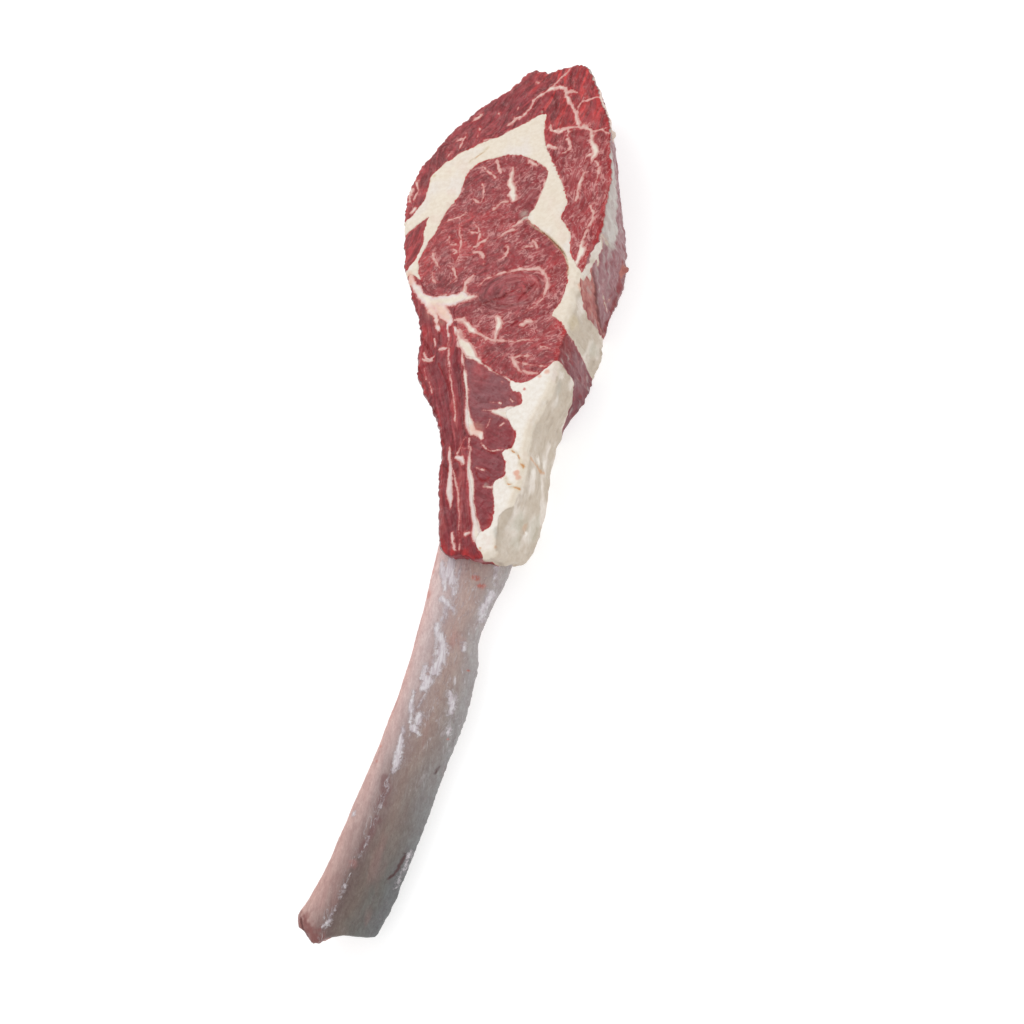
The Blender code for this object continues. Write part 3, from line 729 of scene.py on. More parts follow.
def bottom_points(face, slab):
    """Where each point of the cut face comes out on the face that the steak lies on."""
    top, bottom = slab.rings[-1][::2, :2], slab.rings[0][::2, :2]
    moved = np.empty_like(face.points)
    for start in range(0, len(moved), BATCH):
        part = face.points[start:start + BATCH]
        weights = 1 / (np.linalg.norm(part[:, None] - top[None], axis=2) ** 3 + 0.05)
        moved[start:start + BATCH] = part + weights @ (bottom - top) / weights.sum(axis=1, keepdims=True)
    for number in np.flatnonzero(face.on_rim):
        moved[number] = slab.column(face.rim_place[number])[0, :2]
    return moved


def seam_fat_edge(face):
    """Distance of each point from the seams between lean and fat, positive in fat."""
    is_fat = np.isin(face.node, [number for number, name in enumerate(MEAT_NODES) if name in FAT_NODES])
    touches_fat, touches_lean = np.zeros((2, len(face.points)), dtype=bool)
    touches_fat[np.unique(face.triangles[is_fat])] = True
    touches_lean[np.unique(face.triangles[(face.node >= 0) & ~is_fat])] = True
    gap = gaps_to(face.points[touches_fat & touches_lean], face.points)
    return np.where(touches_fat, gap, -gap)


class Paint:
    """Colours and patterns of some points of a piece, ready to become attributes of its mesh."""

    LAYERS = {
        "place": "FLOAT_VECTOR", "grain": "FLOAT_VECTOR", "lean": "FLOAT_COLOR", "fat": "FLOAT_COLOR",
        "fat_edge": "FLOAT", "marbling": "FLOAT", "calm": "FLOAT",
    }

    def __init__(self, place, grain, fat_edge, look):
        self.place, self.grain, self.fat_edge = place, grain, fat_edge
        self.lean = np.tile(COLOURS[look.lean], (len(place), 1))
        self.fat = np.tile(COLOURS[look.fat], (len(place), 1))
        self.marbling = np.full(len(place), look.marbling)
        self.calm = np.zeros(len(place))

    def tint(self, layer, colour, share):
        """Mixes a colour into the lean or the fat by a share for each point."""
        setattr(self, layer, tinted(getattr(self, layer), COLOURS[colour], share))


def oval_place(points):
    """How far from the middle of the oval to its edge each point lies, as a share, and at what angle."""
    along, across = turned(points - OVAL_MIDDLE, OVAL_TURN)
    return np.hypot(along / OVAL_SIZE[0], across / OVAL_SIZE[1]), np.arctan2(across, along)


def node_grain(name, points, heights):
    """Places measured along the fibres of a node, across them and up."""
    look = NODE_LOOKS[name]
    angle = np.full(len(points), float(look.angle))
    if name == "cap_muscle":
        below_divide = points[:, 1] < between(points[:, 0], CAP_DIVIDE)
        angle[(points[:, 0] > CAP_DIVIDE[-1][0]) | below_divide] = CAP_TIP_GRAIN
    along, across = turned(points + 3.0 * wander(points, 16, 41), angle)
    grain = np.column_stack([look.rates[0] * along, look.rates[1] * across, heights])
    if name == "eye_muscle":
        share, around = oval_place(points)
        rings = np.column_stack([8 * np.sin(around), OVAL_SIZE[1] * share, heights])
        grain = np.where(share[:, None] < 1, rings, grain)
    return grain


def paint_cut(name, points, heights, fat_edge, rim_gap, upper):
    """Paint of a piece's part of the cut face, or of the face that it lies on."""
    paint = Paint(raised(points, heights), node_grain(name, points, heights), fat_edge, NODE_LOOKS[name])
    blotch = layered_noise(points, 22, 51)
    paint.tint("lean", "lean_dark", 0.5 * soft_step(blotch, 0.05, 0.9))
    paint.tint("lean", "lean_bright", 0.45 * soft_step(-blotch, 0.1, 0.9))
    # Brighter red along the rim: a painted highlight on the rounded edge.
    paint.tint("lean", "lean_bright", 0.35 * soft_step(-rim_gap, -2.6, -0.3))
    paint_cut_fat(name, paint, points, rim_gap)
    if name == "lower_muscle":
        paint_lobes(paint, points)
    if name == "cap_muscle":
        paint_cap(paint, points)
    if name == "rib_strips":
        paint_strips(paint, points, rim_gap)
    if name == "eye_muscle":
        paint_eye(paint, points)
    if upper:
        paint_stains(paint, points)
        paint_worn_corner(paint, points)
        paint_cracks(paint, points)
    return paint


def paint_cut_fat(name, paint, points, rim_gap):
    """Whiter, paler and pinker patches of the fat, and the redder border of veins."""
    if name != "rib_strips":
        paint.tint("fat", "fat_white", soft_step(layered_noise(points, 14, 54), -0.1, 0.6))
    if name == "fat_cap":
        paint.tint("fat", "fat_block", soft_step(rim_gap, 1.0, 5.0))
    paint.tint("fat", "fat_pink", 0.35 * soft_step(layered_noise(points, 9, 57), 0.2, 0.8))
    if name not in FAT_NODES:
        paint.tint("fat", "fat", soft_step(paint.fat_edge, 1.0, 3.0))
        red_border = NODE_LOOKS[name].red_border
        paint.tint("fat", "vein", soft_step(-paint.fat_edge, -red_border - 1.0, -red_border))


def paint_lobes(paint, points):
    """Smooth lobes, some redder than others and all of them at their right ends."""
    x, y = points.T
    paint.calm += 0.65
    paint.tint("lean", "strip", between(y, LOBE_REDNESS))
    paint.tint("lean", "lean_bright", 0.6 * soft_step(x - between(y, LOBE_TIPS), -4, 1))


def paint_cap(paint, points):
    """More marbling and brighter lean at the cap's right, and painted shade and highlights in its tip."""
    x, y = points.T
    paint.marbling += 0.6 * soft_step(x, 20, 30) * soft_step(-y, -205, -170)
    paint.tint("lean", "lean_bright", 0.1 * soft_step(x, 22, 30))
    fold_shading = noise(paint.grain * (0.12, 1, 0), 2.0, 65) + 0.5 * noise(paint.grain * (0.3, 1, 0), 1.1, 66)
    tip = soft_step(y, 185, 212) * soft_step(x, -5, 15)
    # Painted shade in the furrows between the tip's folds, and painted highlights on the folds.
    paint.tint("lean", "slit", 0.7 * tip * soft_step(fold_shading, 0.3, 0.95))
    paint.tint("lean", "lean_bright", 0.8 * tip * soft_step(-fold_shading, -0.2, 0.6))


def paint_strips(paint, points, rim_gap):
    """Dark and light stripes on the strips, partly painted shade and highlights; a fresh red lower edge."""
    x, y = points.T
    paint.calm += 0.35
    fresh = soft_step(-rim_gap, -5, -1) * soft_step(-y, 44, 54) * soft_step(x, -9, 2)
    paint.tint("lean", "lean_bright", 0.75 * fresh * soft_step(noise(points, 3, 67), -0.6, 0.3))
    # The dark stripes are partly painted shade in clefts, and the light ones partly painted highlights.
    stripes = noise(paint.grain * (0.4, 1, 0), 4.0, 63) + 0.5 * noise(paint.grain * (0.9, 1, 0), 1.8, 64)
    paint.tint("lean", "strip_dark", 0.6 * soft_step(stripes, 0.0, 0.7))
    paint.tint("lean", "strip_light", 0.7 * soft_step(-stripes, 0.1, 0.8))


def paint_eye(paint, points):
    """Marbling that comes and goes over the eye, and a darker and leaner oval low in it."""
    paint.marbling *= 0.62 + 0.58 * soft_step(layered_noise(points, 18, 61), -0.5, 0.5)
    oval = soft_step(-oval_place(points)[0], -1.02, -0.88)
    paint.marbling *= 1 - 0.4 * oval
    paint.tint("lean", "lobe", 0.25 * oval)


def paint_stains(paint, points):
    """Stains of the upper face, and its slits in the lean."""
    for x, y, radius, colour, strength in STAINS:
        share = strength * spot_share(points, (x, y), radius, 0.25 * noise(points, 0.7 * radius, 71))
        paint.tint("fat", colour, share)
        if colour in ("grey", "blush"):
            paint.tint("lean", colour, 0.5 * share)
    slit = stroke_reach(points, SLITS)
    paint.tint("lean", "slit", 0.25 * soft_step(slit, -1.4, 0.0))
    paint.tint("lean", "slit", soft_step(slit, -0.45, 0.1))


def past_block_corner(points):
    """How far to the right of the worn corner's left edge each point lies."""
    x, y = points.T
    return np.where(y < BLOCK_CORNER[-1][0], x - between(y, BLOCK_CORNER), -NEVER)


def paint_worn_corner(paint, points):
    """The worn corner of the fat block: painted shade on its slope and outline, and chalky patches."""
    corner = past_block_corner(points)
    # Painted shade: the corner's slope is darker, as it faces away from the light.
    paint.tint("fat", "fat_side_shade", soft_step(corner, -0.3, 0.8))
    chalk = soft_step(layered_noise(points * (1, 0.7), 7, 98), 0.0, 0.4)
    paint.tint("fat", "fat_white", 0.8 * chalk * soft_step(corner, 0.5, 1.5))
    # A line of painted shade along the corner's outline, where its slope meets the upper face.
    outline_shade = -np.abs(corner + 0.7 * noise(points, 3, 76))
    paint.tint("fat", "fat_shade", 0.6 * soft_step(outline_shade, -0.7, -0.1))


def crack_reach(points):
    """How far inside the nearest jagged crack in the fat each point lies."""
    return stroke_reach(points + 0.8 * wander(points, 2.6, 73), FAT_CRACKS)


def paint_cracks(paint, points):
    """Amber cracks in the fat, and the olive line where the eye's lower lobe begins."""
    crack = crack_reach(points)
    paint.tint("fat", "tan", 0.35 * soft_step(crack, -1.8, 0.0))
    paint.tint("fat", "amber", 0.85 * soft_step(crack + 0.5 * noise(points, 2.2, 75), -0.2, 0.25))
    line = stroke_reach(points, LOBE_LINE)
    for layer in ("lean", "fat"):
        paint.tint(layer, "tan", 0.5 * soft_step(line, -0.9, 0.0))
        paint.tint(layer, "olive", 0.9 * soft_step(line, -0.1, 0.3))


def right_side_fat_edge(points):
    """How far inside the right side's fat each point lies: its band, the block or the white patches."""
    _, y, z = points.T
    heights, *borders = np.array(RIGHT_SIDE_FAT).T
    band_low, band_high, block_top = (np.interp(z, heights, border) for border in borders)
    band = np.minimum(y - band_low, band_high - y) + 0.9 * noise(points, 3.0, 87) * soft_step(y, 66, 72)
    white = stroke_reach(points[:, 1:], RIGHT_SIDE_WHITE) + 0.7 * noise(points, 2.4, 88)
    return np.maximum(np.maximum(band, block_top - y), white) + 0.5 * noise(points, 2.0, 82)


def paint_side(name, points, fat_edge):
    """Paint of a piece's part of the slab's side; the right side has its own fat and membranes."""
    x, y, z = points.T
    right = soft_step(x, 25, 30) * soft_step(y, -64, -60)
    on_right = right > 0.5
    upright = np.column_stack([z, y + 0.6 * x, x - 0.6 * y])
    sloping = np.column_stack([0.7 * (y + z), 0.7 * (y - z), x])
    edge = fat_edge + 0.7 * layered_noise(points * (1, 1, 0.35), 3.5, 81)
    edge = np.where(on_right, right_side_fat_edge(points), edge)
    paint = Paint(points, np.where(on_right[:, None], sloping, upright), edge, NODE_LOOKS[name])
    paint.marbling *= 0.4
    paint.calm += 0.6 + 0.15 * right
    film = layered_noise(points * (1, 1, 0.5), 9, 85)
    paint_side_fat(paint, points, right, film)
    paint_side_membranes(paint, points, right, film)
    paint_side_reds(paint, points, right)
    paint_side_stains(paint, points, right)
    return paint


def paint_side_fat(paint, points, right, film):
    """Fat on the side: painted shade on the side and in its furrows, chalky patches and a grey film."""
    _, y, z = points.T
    corner = soft_step(past_block_corner(points[:, :2]), -0.3, 0.8)
    # Painted shade: the fat of the side and of the worn corner is darker, as it faces away from the light.
    paint.tint("fat", "fat_side_shade", np.maximum(soft_step(-z, -39.5, -37), corner))
    chalk = layered_noise(points * (1, 0.6, 1), 8, 94) + 0.4 * soft_step(-y, 10, 22)
    paint.tint("fat", "fat_white", 0.8 * right * soft_step(chalk, 0.05, 0.6))
    # Painted shade in furrows down the right side.
    furrow_shade = noise(points * (1, 0.3, 1), 2.6, 95) + 0.6 * noise(points * (1, 0.5, 1), 1.2, 97)
    paint.tint("fat", "fat_shade", 0.5 * right * soft_step(furrow_shade, 0.2, 1.0))
    paint.tint("fat", "grey", 0.15 * soft_step(film, 0.0, 0.8))


def paint_side_membranes(paint, points, right, film):
    """Membranes over the lean of the side; above the fat band they cover it, shiny near the cut face."""
    _, y, z = points.T
    upper_part = right * soft_step(y, 76, 82)
    paint.tint("lean", "side_lean", right)
    paint.tint("lean", "membrane_pink", (0.75 - 0.4 * right) * soft_step(film, -0.35, 0.35))
    paint.tint("lean", "membrane", (0.6 - 0.4 * right) * soft_step(film, 0.25, 0.8))
    paint.tint("lean", "membrane_mauve", upper_part)
    below_crease = between(z, [(crease_z, crease_y) for crease_y, crease_z, _ in reversed(CREASE)]) - y
    below_crease += 0.6 * noise(points, 3, 89)
    paint.tint("lean", "salmon", 0.8 * upper_part * soft_step(below_crease, -0.6, 0.8))
    streaks = noise(paint.grain * (0.25, 1, 0.4), 1.8, 93)
    streaks += 0.5 * noise(paint.grain * (0.4, 1, 0.6), 0.9, 96)
    paint.tint("lean", "side_red", 0.7 * (right - upper_part) * soft_step(z, 24, 36))
    paint.tint("lean", "side_red", 0.55 * right * soft_step(-streaks, 0.1, 0.8))
    paint.tint("lean", "membrane", 0.4 * right * soft_step(streaks, 0.3, 0.9))
    wave = 1.5 * noise(points, 6, 86)
    shine = soft_step(z - between(y, MEMBRANE_EDGE) + wave, -1.2, 1.2) * soft_step(y + wave, 116, 122)
    shine *= upper_part
    paint.tint("lean", "membrane", 0.95 * shine)
    paint.calm += 0.25 * shine
    paint.tint("lean", "green", 0.35 * shine * soft_step(noise(points, 8, 90), 0.0, 0.7))


def on_right_side(points, right, strokes, ragged):
    """Reach of some strokes of the right side, with a ragged border."""
    return np.where(right > 0.5, stroke_reach(points[:, 1:], strokes) + ragged, -NEVER)


def paint_side_reds(paint, points, right):
    """Red parts in the lean of the right side, and painted shade in its creases."""
    red = on_right_side(points, right, RIGHT_SIDE_RED, 0.8 * noise(points, 2.5, 91))
    paint.tint("lean", "side_red", 0.85 * soft_step(red, -1.6, 0.8))
    # Painted shade in the creases of the right side.
    crease_shade = on_right_side(points, right, RIGHT_SIDE_CREASES, 0.4 * noise(points, 2, 92))
    paint.tint("lean", "crease_shade", 0.8 * soft_step(crease_shade, -0.9, 0.3))


def paint_side_stains(paint, points, right):
    """Stains, a ring of painted shade in a pit, and the amber crack of the right side."""
    for y, z, radius, colour, strength in RIGHT_SIDE_STAINS:
        share = spot_share(points[:, 1:], (y, z), radius, 0.35 * noise(points, 0.5 * radius, 72))
        paint.tint("fat", colour, right * strength * share)
        if colour == "salmon":
            paint.tint("lean", colour, right * strength * share)
    crack = on_right_side(points, right, RIGHT_SIDE_CRACKS, 0.9 * noise(points, 2.0, 83))
    paint.tint("fat", "amber", 0.5 * soft_step(crack, -0.7, 0.4))


def cut_relief(points, fat_edge, rim_gap):
    """How far the cut face stands above its mean level, in millimetres."""
    x, y = points.T
    height = bumps(points, (0.5, 30, 21), (0.25, 9, 22))
    grit = bumps(points @ GRIT_TURN, (0.16, 2.8, 23), (0.14, 1.3, 24))
    height += grit * (1 - soft_step(fat_edge, 0.0, 1.5))
    height += 0.4 * soft_step(fat_edge, -0.5, 1.5)
    height -= 0.35 * soft_step(stroke_reach(points, SLITS), -0.5, 0.2)
    height -= 0.5 * soft_step(crack_reach(points), -0.6, 0.2)
    seam_x = between(-y, [(-known_y, known_x) for known_x, known_y in RIB_STRIP_SEAM])
    in_strips = soft_step(seam_x - x, 0, 3) * soft_step(-y, -80, -68)
    ridges = noise(points * (1, 0.45), 3.2, 25) + 0.4 * noise(points * (1, 0.6), 1.6, 26)
    height += 0.55 * in_strips * ridges
    height -= 0.26 * np.clip(past_block_corner(points), 0, 6)
    height -= 0.5 * soft_step(fat_edge, 0.5, 2.5) * soft_step(-rim_gap, -1.8, 0.5) ** 1.5
    height -= 0.6 * soft_step(stroke_reach(points, LOBE_LINE), -0.6, 0.2)
    return height - 0.7 * soft_step(-rim_gap, -1.6, 0)


def make_mesh(name, points, groups):
    """A mesh from points in metres and arrays that each hold polygons of one size."""
    corners = np.concatenate([group.ravel() for group in groups])
    sizes = np.concatenate([np.full(len(group), group.shape[1]) for group in groups])
    mesh = bpy.data.meshes.new(name)
    mesh.vertices.add(len(points))
    mesh.vertices.foreach_set("co", points.ravel())
    mesh.loops.add(len(corners))
    mesh.loops.foreach_set("vertex_index", corners)
    mesh.polygons.add(len(sizes))
    mesh.polygons.foreach_set("loop_start", np.concatenate([[0], np.cumsum(sizes)[:-1]]))
    mesh.update(calc_edges=True)
    return mesh


def add_attribute(mesh, name, kind, values, domain="POINT"):
    """Stores a value for each point or face of a mesh; colours become opaque."""
    layer = mesh.attributes.new(name, kind, domain)
    field = {"FLOAT_VECTOR": "vector", "FLOAT_COLOR": "color"}.get(kind, "value")
    if kind == "FLOAT_COLOR":
        values = np.column_stack([values, np.ones(len(values))])
    layer.data.foreach_set(field, np.ascontiguousarray(values).ravel())


class MeatMaker:
    """Makes one closed mesh for each node of meat from the cut face and the slab's side."""

    def __init__(self):
        self.slab = Slab()
        self.face = CutFace(self.slab)
        points = self.face.points
        self.rim_gap = gaps_to(self.slab.rings[-1][:, :2], points)
        seam_edge = seam_fat_edge(self.face) + bumps(points, (0.55, 4.0, 39), (0.45, 1.6, 40))
        self.fat_edge = np.maximum(seam_edge, ragged_veins(points))
        self.lower_fat_edge = np.maximum(seam_edge, ragged_veins(points + 3.5 * wander(points, 14, 31)))
        self.height = THICKNESS + cut_relief(points, self.fat_edge, self.rim_gap)
        self.below = bottom_points(self.face, self.slab)
        self.below_height = UNDERSIDE + 0.2 * noise(points, 3, 33)
        self.side_rows = len(self.slab.heights) - 2

    def piece(self, number, name, material):
        """A node's mesh: its part of both faces and of the side, and flat walls along its seams."""
        triangles = self.face.triangles[self.face.node == number]
        used = np.unique(triangles)
        borders = self.border_edges(triangles)
        rim_points = [int(point) for point in np.unique(borders) if self.face.on_rim[point]]
        local = np.full(len(self.face.points), -1)
        local[used] = np.arange(len(used))
        upper = local[triangles]
        outer, inner = self.walls(borders, rim_points, local, len(used))
        groups = [upper, upper[:, ::-1] + len(used)] + outer + inner
        paints = self.paints(name, used, rim_points)
        mesh = make_mesh(name, placed(np.vstack([paint.place for paint in paints])), groups)
        for layer, kind in Paint.LAYERS.items():
            add_attribute(mesh, layer, kind, np.concatenate([getattr(paint, layer) for paint in paints]))
        total = len(mesh.polygons)
        add_attribute(mesh, "sharp_face", "BOOLEAN", np.arange(total) >= total - len(inner), "FACE")
        mesh.materials.append(material)
        return mesh

    def paints(self, name, used, rim_points):
        """Paint of a piece's two faces and of its part of the side, if it has one."""
        faces = (
            (True, self.face.points, self.height, self.fat_edge),
            (False, self.below, self.below_height, self.lower_fat_edge),
        )
        paints = [paint_cut(name, points[used], heights[used], fat_edge[used], self.rim_gap[used], upper)
                  for upper, points, heights, fat_edge in faces]
        if rim_points:
            side = np.vstack([self.side_column(point) for point in rim_points])
            paints.append(paint_side(name, side, np.repeat(self.fat_edge[rim_points], self.side_rows)))
        return paints

    def walls(self, borders, rim_points, local, count):
        """Quads of the slab's side, and one tall polygon for each edge of a seam."""
        columns = {point: 2 * count + self.side_rows * number + np.arange(self.side_rows)
                   for number, point in enumerate(rim_points)}
        none = np.empty(0, int)
        outer, inner = [], []
        for edge in borders:
            left, right = (
                np.concatenate([[local[point] + count], columns.get(point, none), [local[point]]])
                for point in edge)
            if tuple(sorted(edge)) in self.face.rim_edges:
                outer.append(np.column_stack([left[:-1], right[:-1], right[1:], left[1:]]))
            else:
                inner.append(np.concatenate([right, left[::-1]])[None])
        return outer, inner

    def side_column(self, point):
        """The side's points below a point of the rim, between the two faces."""
        column = self.slab.column(self.face.rim_place[point])[1:-1]
        column[:, 2] *= self.height[point] / THICKNESS
        return column

    def border_edges(self, triangles):
        """Edges of a piece's triangles that border no other triangle of it, in their turning sense."""
        edges = sides_of(triangles)
        size = len(self.face.points)
        keys, opposite = edges[:, 0] * size + edges[:, 1], edges[:, 1] * size + edges[:, 0]
        return [(int(a), int(b)) for a, b in edges[~np.isin(keys, opposite)]]


def add_piece(mesh, node):
    """Puts a mesh in the scene in place of its CAD node."""
    piece = bpy.data.objects.new(node + "_look", mesh)
    bpy.context.scene.collection.objects.link(piece)
    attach(piece, "root")
    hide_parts(node)


def make_meat():
    materials = {
        "lean": make_meat_material("raw_lean", 0.4, 0.05),
        "fat": make_meat_material("raw_fat", 0.5, 0.0),
    }
    maker = MeatMaker()
    for number, name in enumerate(MEAT_NODES):
        slot = "fat" if name in FAT_NODES else "lean"
        add_piece(maker.piece(number, name, materials[slot]), name)


class Shader:
    """A material's node tree, built by short calls."""

    def __init__(self, name):
        self.material = bpy.data.materials.new(name)
        self.material.use_nodes = True
        self.tree = self.material.node_tree
        self.surface = self.tree.nodes["Principled BSDF"]

    def add(self, kind, inputs=(), **settings):
        node = self.tree.nodes.new(kind)
        for key, value in settings.items():
            setattr(node, key, value)
        for key, value in inputs:
            self.feed(node.inputs[key], value)
        return node

    def feed(self, socket, value):
        """Links a socket or sets it; colours are opaque."""
        if isinstance(value, bpy.types.NodeSocket):
            self.tree.links.new(value, socket)
        elif socket.type == "RGBA":
            socket.default_value = (*value, 1)
        else:
            socket.default_value = value

    def finish(self, inputs):
        """The material, once its surface is fed."""
        for name, value in inputs.items():
            self.feed(self.surface.inputs[name], value)
        return self.material

    @functools.cache
    def attribute(self, name, output="Fac"):
        return self.add("ShaderNodeAttribute", attribute_name=name).outputs[output]

    def vector_math(self, operation, first, second):
        return self.add("ShaderNodeVectorMath", [(0, first), (1, second)], operation=operation).outputs[0]

    def scaled(self, vector, factors):
        return self.vector_math("MULTIPLY", vector, factors)

    def noise(self, vector, size, detail=3.0, roughness=0.55, distortion=0.0):
        inputs = [("Vector", vector), ("Scale", 1 / size), ("Detail", detail), ("Roughness", roughness),
                  ("Distortion", distortion)]
        return self.add("ShaderNodeTexNoise", inputs).outputs["Fac"]

    def place_noise(self, size, *settings):
        return self.noise(self.attribute("place", "Vector"), size, *settings)

    def grain_noise(self, stretch, size, *settings):
        """Noise that is drawn out along the fibres; a small stretch makes it long."""
        grain = self.attribute("grain", "Vector")
        return self.noise(self.scaled(grain, (stretch, 1.0, 1.0)), size, *settings)

    def warped(self, vector, size, amount):
        """The vector pushed about by noise."""
        push = self.add("ShaderNodeTexNoise", [("Vector", vector), ("Scale", 1 / size), ("Detail", 3.0)])
        shift = self.vector_math("SUBTRACT", push.outputs["Color"], (0.5, 0.5, 0.5))
        return self.vector_math("ADD", vector, self.scaled(shift, (2 * amount, 2 * amount, 2 * amount)))

    def wandering_lines(self, vector, size, thickness, blur):
        """Thin lines where noise crosses its middle value; none where the thickness is 0."""
        level = self.noise(vector, size, 1.5, 0.5, 0.8)
        gap = self.math("ABSOLUTE", self.minus(level, 0.5))
        return self.step(self.minus(thickness, gap), 0.0, blur)

    def math(self, operation, *values):
        return self.add("ShaderNodeMath", list(enumerate(values)), operation=operation).outputs[0]

    def plus(self, *values):
        return functools.reduce(lambda first, second: self.math("ADD", first, second), values)

    def minus(self, first, second):
        return self.math("SUBTRACT", first, second)

    def times(self, first, second):
        return self.math("MULTIPLY", first, second)

    def largest(self, *values):
        return functools.reduce(lambda first, second: self.math("MAXIMUM", first, second), values)

    def step(self, value, low, high, bottom=0.0, top=1.0):
        inputs = [("Value", value), ("From Min", low), ("From Max", high), ("To Min", bottom),
                  ("To Max", top)]
        return self.add("ShaderNodeMapRange", inputs, interpolation_type="SMOOTHSTEP").outputs["Result"]

    def mix(self, share, first, second, blend="MIX"):
        """A colour mixed from two; sockets 0, 6 and 7 of the node are its share and its two colours."""
        node = self.add("ShaderNodeMix", data_type="RGBA", blend_type=blend)
        for number, value in ((0, share), (6, first), (7, second)):
            self.feed(node.inputs[number], value)
        return node.outputs[2]

    def shaded(self, colour, pattern, dark, light):
        """The colour times a tone that is dark where the pattern is low and light where it is high."""
        return self.mix(1.0, colour, self.mix(pattern, dark, light), "MULTIPLY")

    def bump(self, height, distance):
        return self.add("ShaderNodeBump", [("Height", height), ("Distance", distance)]).outputs["Normal"]


def fat_border(shader):
    """Distance into the fat, with an edge that frays and follows the bundles of fibres."""
    bundles = shader.times(shader.minus(shader.grain_noise(0.3, 3.2, 3.0, 0.55, 0.5), 0.5), 1.2)
    fray = shader.times(shader.minus(shader.place_noise(1.5, 4.0, 0.68, 0.6), 0.5), 1.9)
    return shader.plus(shader.attribute("fat_edge"), shader.plus(bundles, fray))


def fine_marbling(shader, edge, bent):
    """How pale the lean is with marbling: lines, a finer net, flecks, dots and a haze, in clusters."""
    marbling = shader.attribute("marbling")
    amount = shader.plus(marbling, shader.step(edge, -2.5, -0.3, 0.0, 0.35))
    cluster = shader.place_noise(6.0, 3.0, 0.6)
    width = shader.times(amount, shader.step(cluster, 0.34, 0.62, 0.01, 0.06))
    lines = shader.wandering_lines(bent, 4.0, width, 0.046)
    mirrored = shader.scaled(shader.attribute("place", "Vector"), (1.0, -1.0, 1.0))
    finest = shader.noise(mirrored, 4.0, 3.0, 0.6)
    fine_width = shader.times(marbling, shader.step(finest, 0.44, 0.64, 0.0, 0.05))
    net = shader.wandering_lines(shader.scaled(bent, (0.9, 1.1, 1.0)), 2.7, fine_width, 0.058)
    flecks = shader.step(shader.grain_noise(0.6, 2.2, 2.0, 0.55, 0.9), 0.52, 0.66, 0.0, 0.5)
    dots = shader.step(shader.noise(bent, 1.9, 1.0, 0.4, 0.4), 0.585, 0.66)
    dots = shader.times(dots, shader.step(cluster, 0.44, 0.58))
    haze = shader.step(cluster, 0.46, 0.7, 0.0, 0.24)
    return shader.largest(lines, net, *(shader.times(part, marbling) for part in (flecks, dots, haze)))


def lean_colour(shader, edge, fibres, fibre_share):
    """The painted lean with its tones, bundles and fibres, redder next to fat, and its marbling."""
    bent = shader.warped(shader.scaled(shader.attribute("grain", "Vector"), (0.65, 1.0, 1.0)), 3.4, 1.4)
    swing = shader.times(shader.minus(1.0, shader.attribute("calm")),
                         shader.step(shader.attribute("marbling"), 0.9, 0.2, 0.6, 1.0))
    raw = shader.attribute("lean", "Color")
    tone = shader.step(shader.grain_noise(0.5, 3.0, 2.0, 0.5, 0.8), 0.32, 0.68)
    lean = shader.mix(swing, raw, shader.shaded(raw, tone, (0.6, 0.38, 0.42), (1.3, 1.75, 1.68)))
    bundle = shader.add("ShaderNodeTexVoronoi", [("Vector", bent), ("Scale", 1 / 3.3)]).outputs["Color"]
    lean = shader.shaded(lean, bundle, (0.9, 0.84, 0.85), (1.1, 1.18, 1.17))
    fibrous = shader.shaded(lean, shader.step(fibres, 0.32, 0.68), (0.82, 0.76, 0.77), (1.14, 1.24, 1.22))
    lean = shader.mix(fibre_share, lean, fibrous)
    rim = shader.times(shader.step(edge, -1.5, -0.15, 0.0, 0.45), swing)
    lean = shader.mix(rim, lean, COLOURS["lean_bright"])
    return shader.mix(shader.times(fine_marbling(shader, edge, bent), 0.7), lean, COLOURS["marbling"])


def make_meat_material(name, roughness, coat):
    """Raw meat: lean with fibres and fine marbling, and fat where the fat_edge attribute is positive."""
    shader = Shader(name)
    edge = fat_border(shader)
    fat_mask = shader.step(edge, -0.4, 0.5)
    fibres = shader.grain_noise(0.28, 1.4, 2.0, 0.5, 0.5)
    fibre_share = shader.times(shader.step(shader.attribute("calm"), 0.95, 0.2, 0.15, 1.0),
                               shader.step(shader.attribute("marbling"), 0.9, 0.2, 0.25, 0.85))
    curd = shader.place_noise(2.4, 3.0, 0.6)
    fat = shader.shaded(shader.attribute("fat", "Color"), shader.step(curd, 0.3, 0.7),
                        (0.95, 0.93, 0.91), (1.03, 1.04, 1.05))
    fat = shader.mix(shader.step(edge, 0.45, 0.0, 0.0, 0.45), fat, COLOURS["vein_edge"])
    mottle = shader.place_noise(0.8, 2.0, 0.6)
    lean_height = shader.times(shader.plus(fibres, shader.times(mottle, 0.5)),
                               shader.times(fibre_share, shader.minus(1.0, fat_mask)))
    fat_height = shader.times(shader.plus(fat_mask, shader.times(curd, 0.35)), 0.5)
    wet = shader.place_noise(5.0, 3.0, 0.6)
    return shader.finish({
        "Base Color": shader.mix(fat_mask, lean_colour(shader, edge, fibres, fibre_share), fat),
        "Roughness": shader.step(wet, 0.35, 0.7, roughness - 0.1, roughness + 0.14),
        "Normal": shader.bump(shader.plus(lean_height, fat_height), 0.0004),
        "Specular IOR Level": 0.3,
        "Coat Weight": coat,
        "Coat Roughness": 0.3,
    })


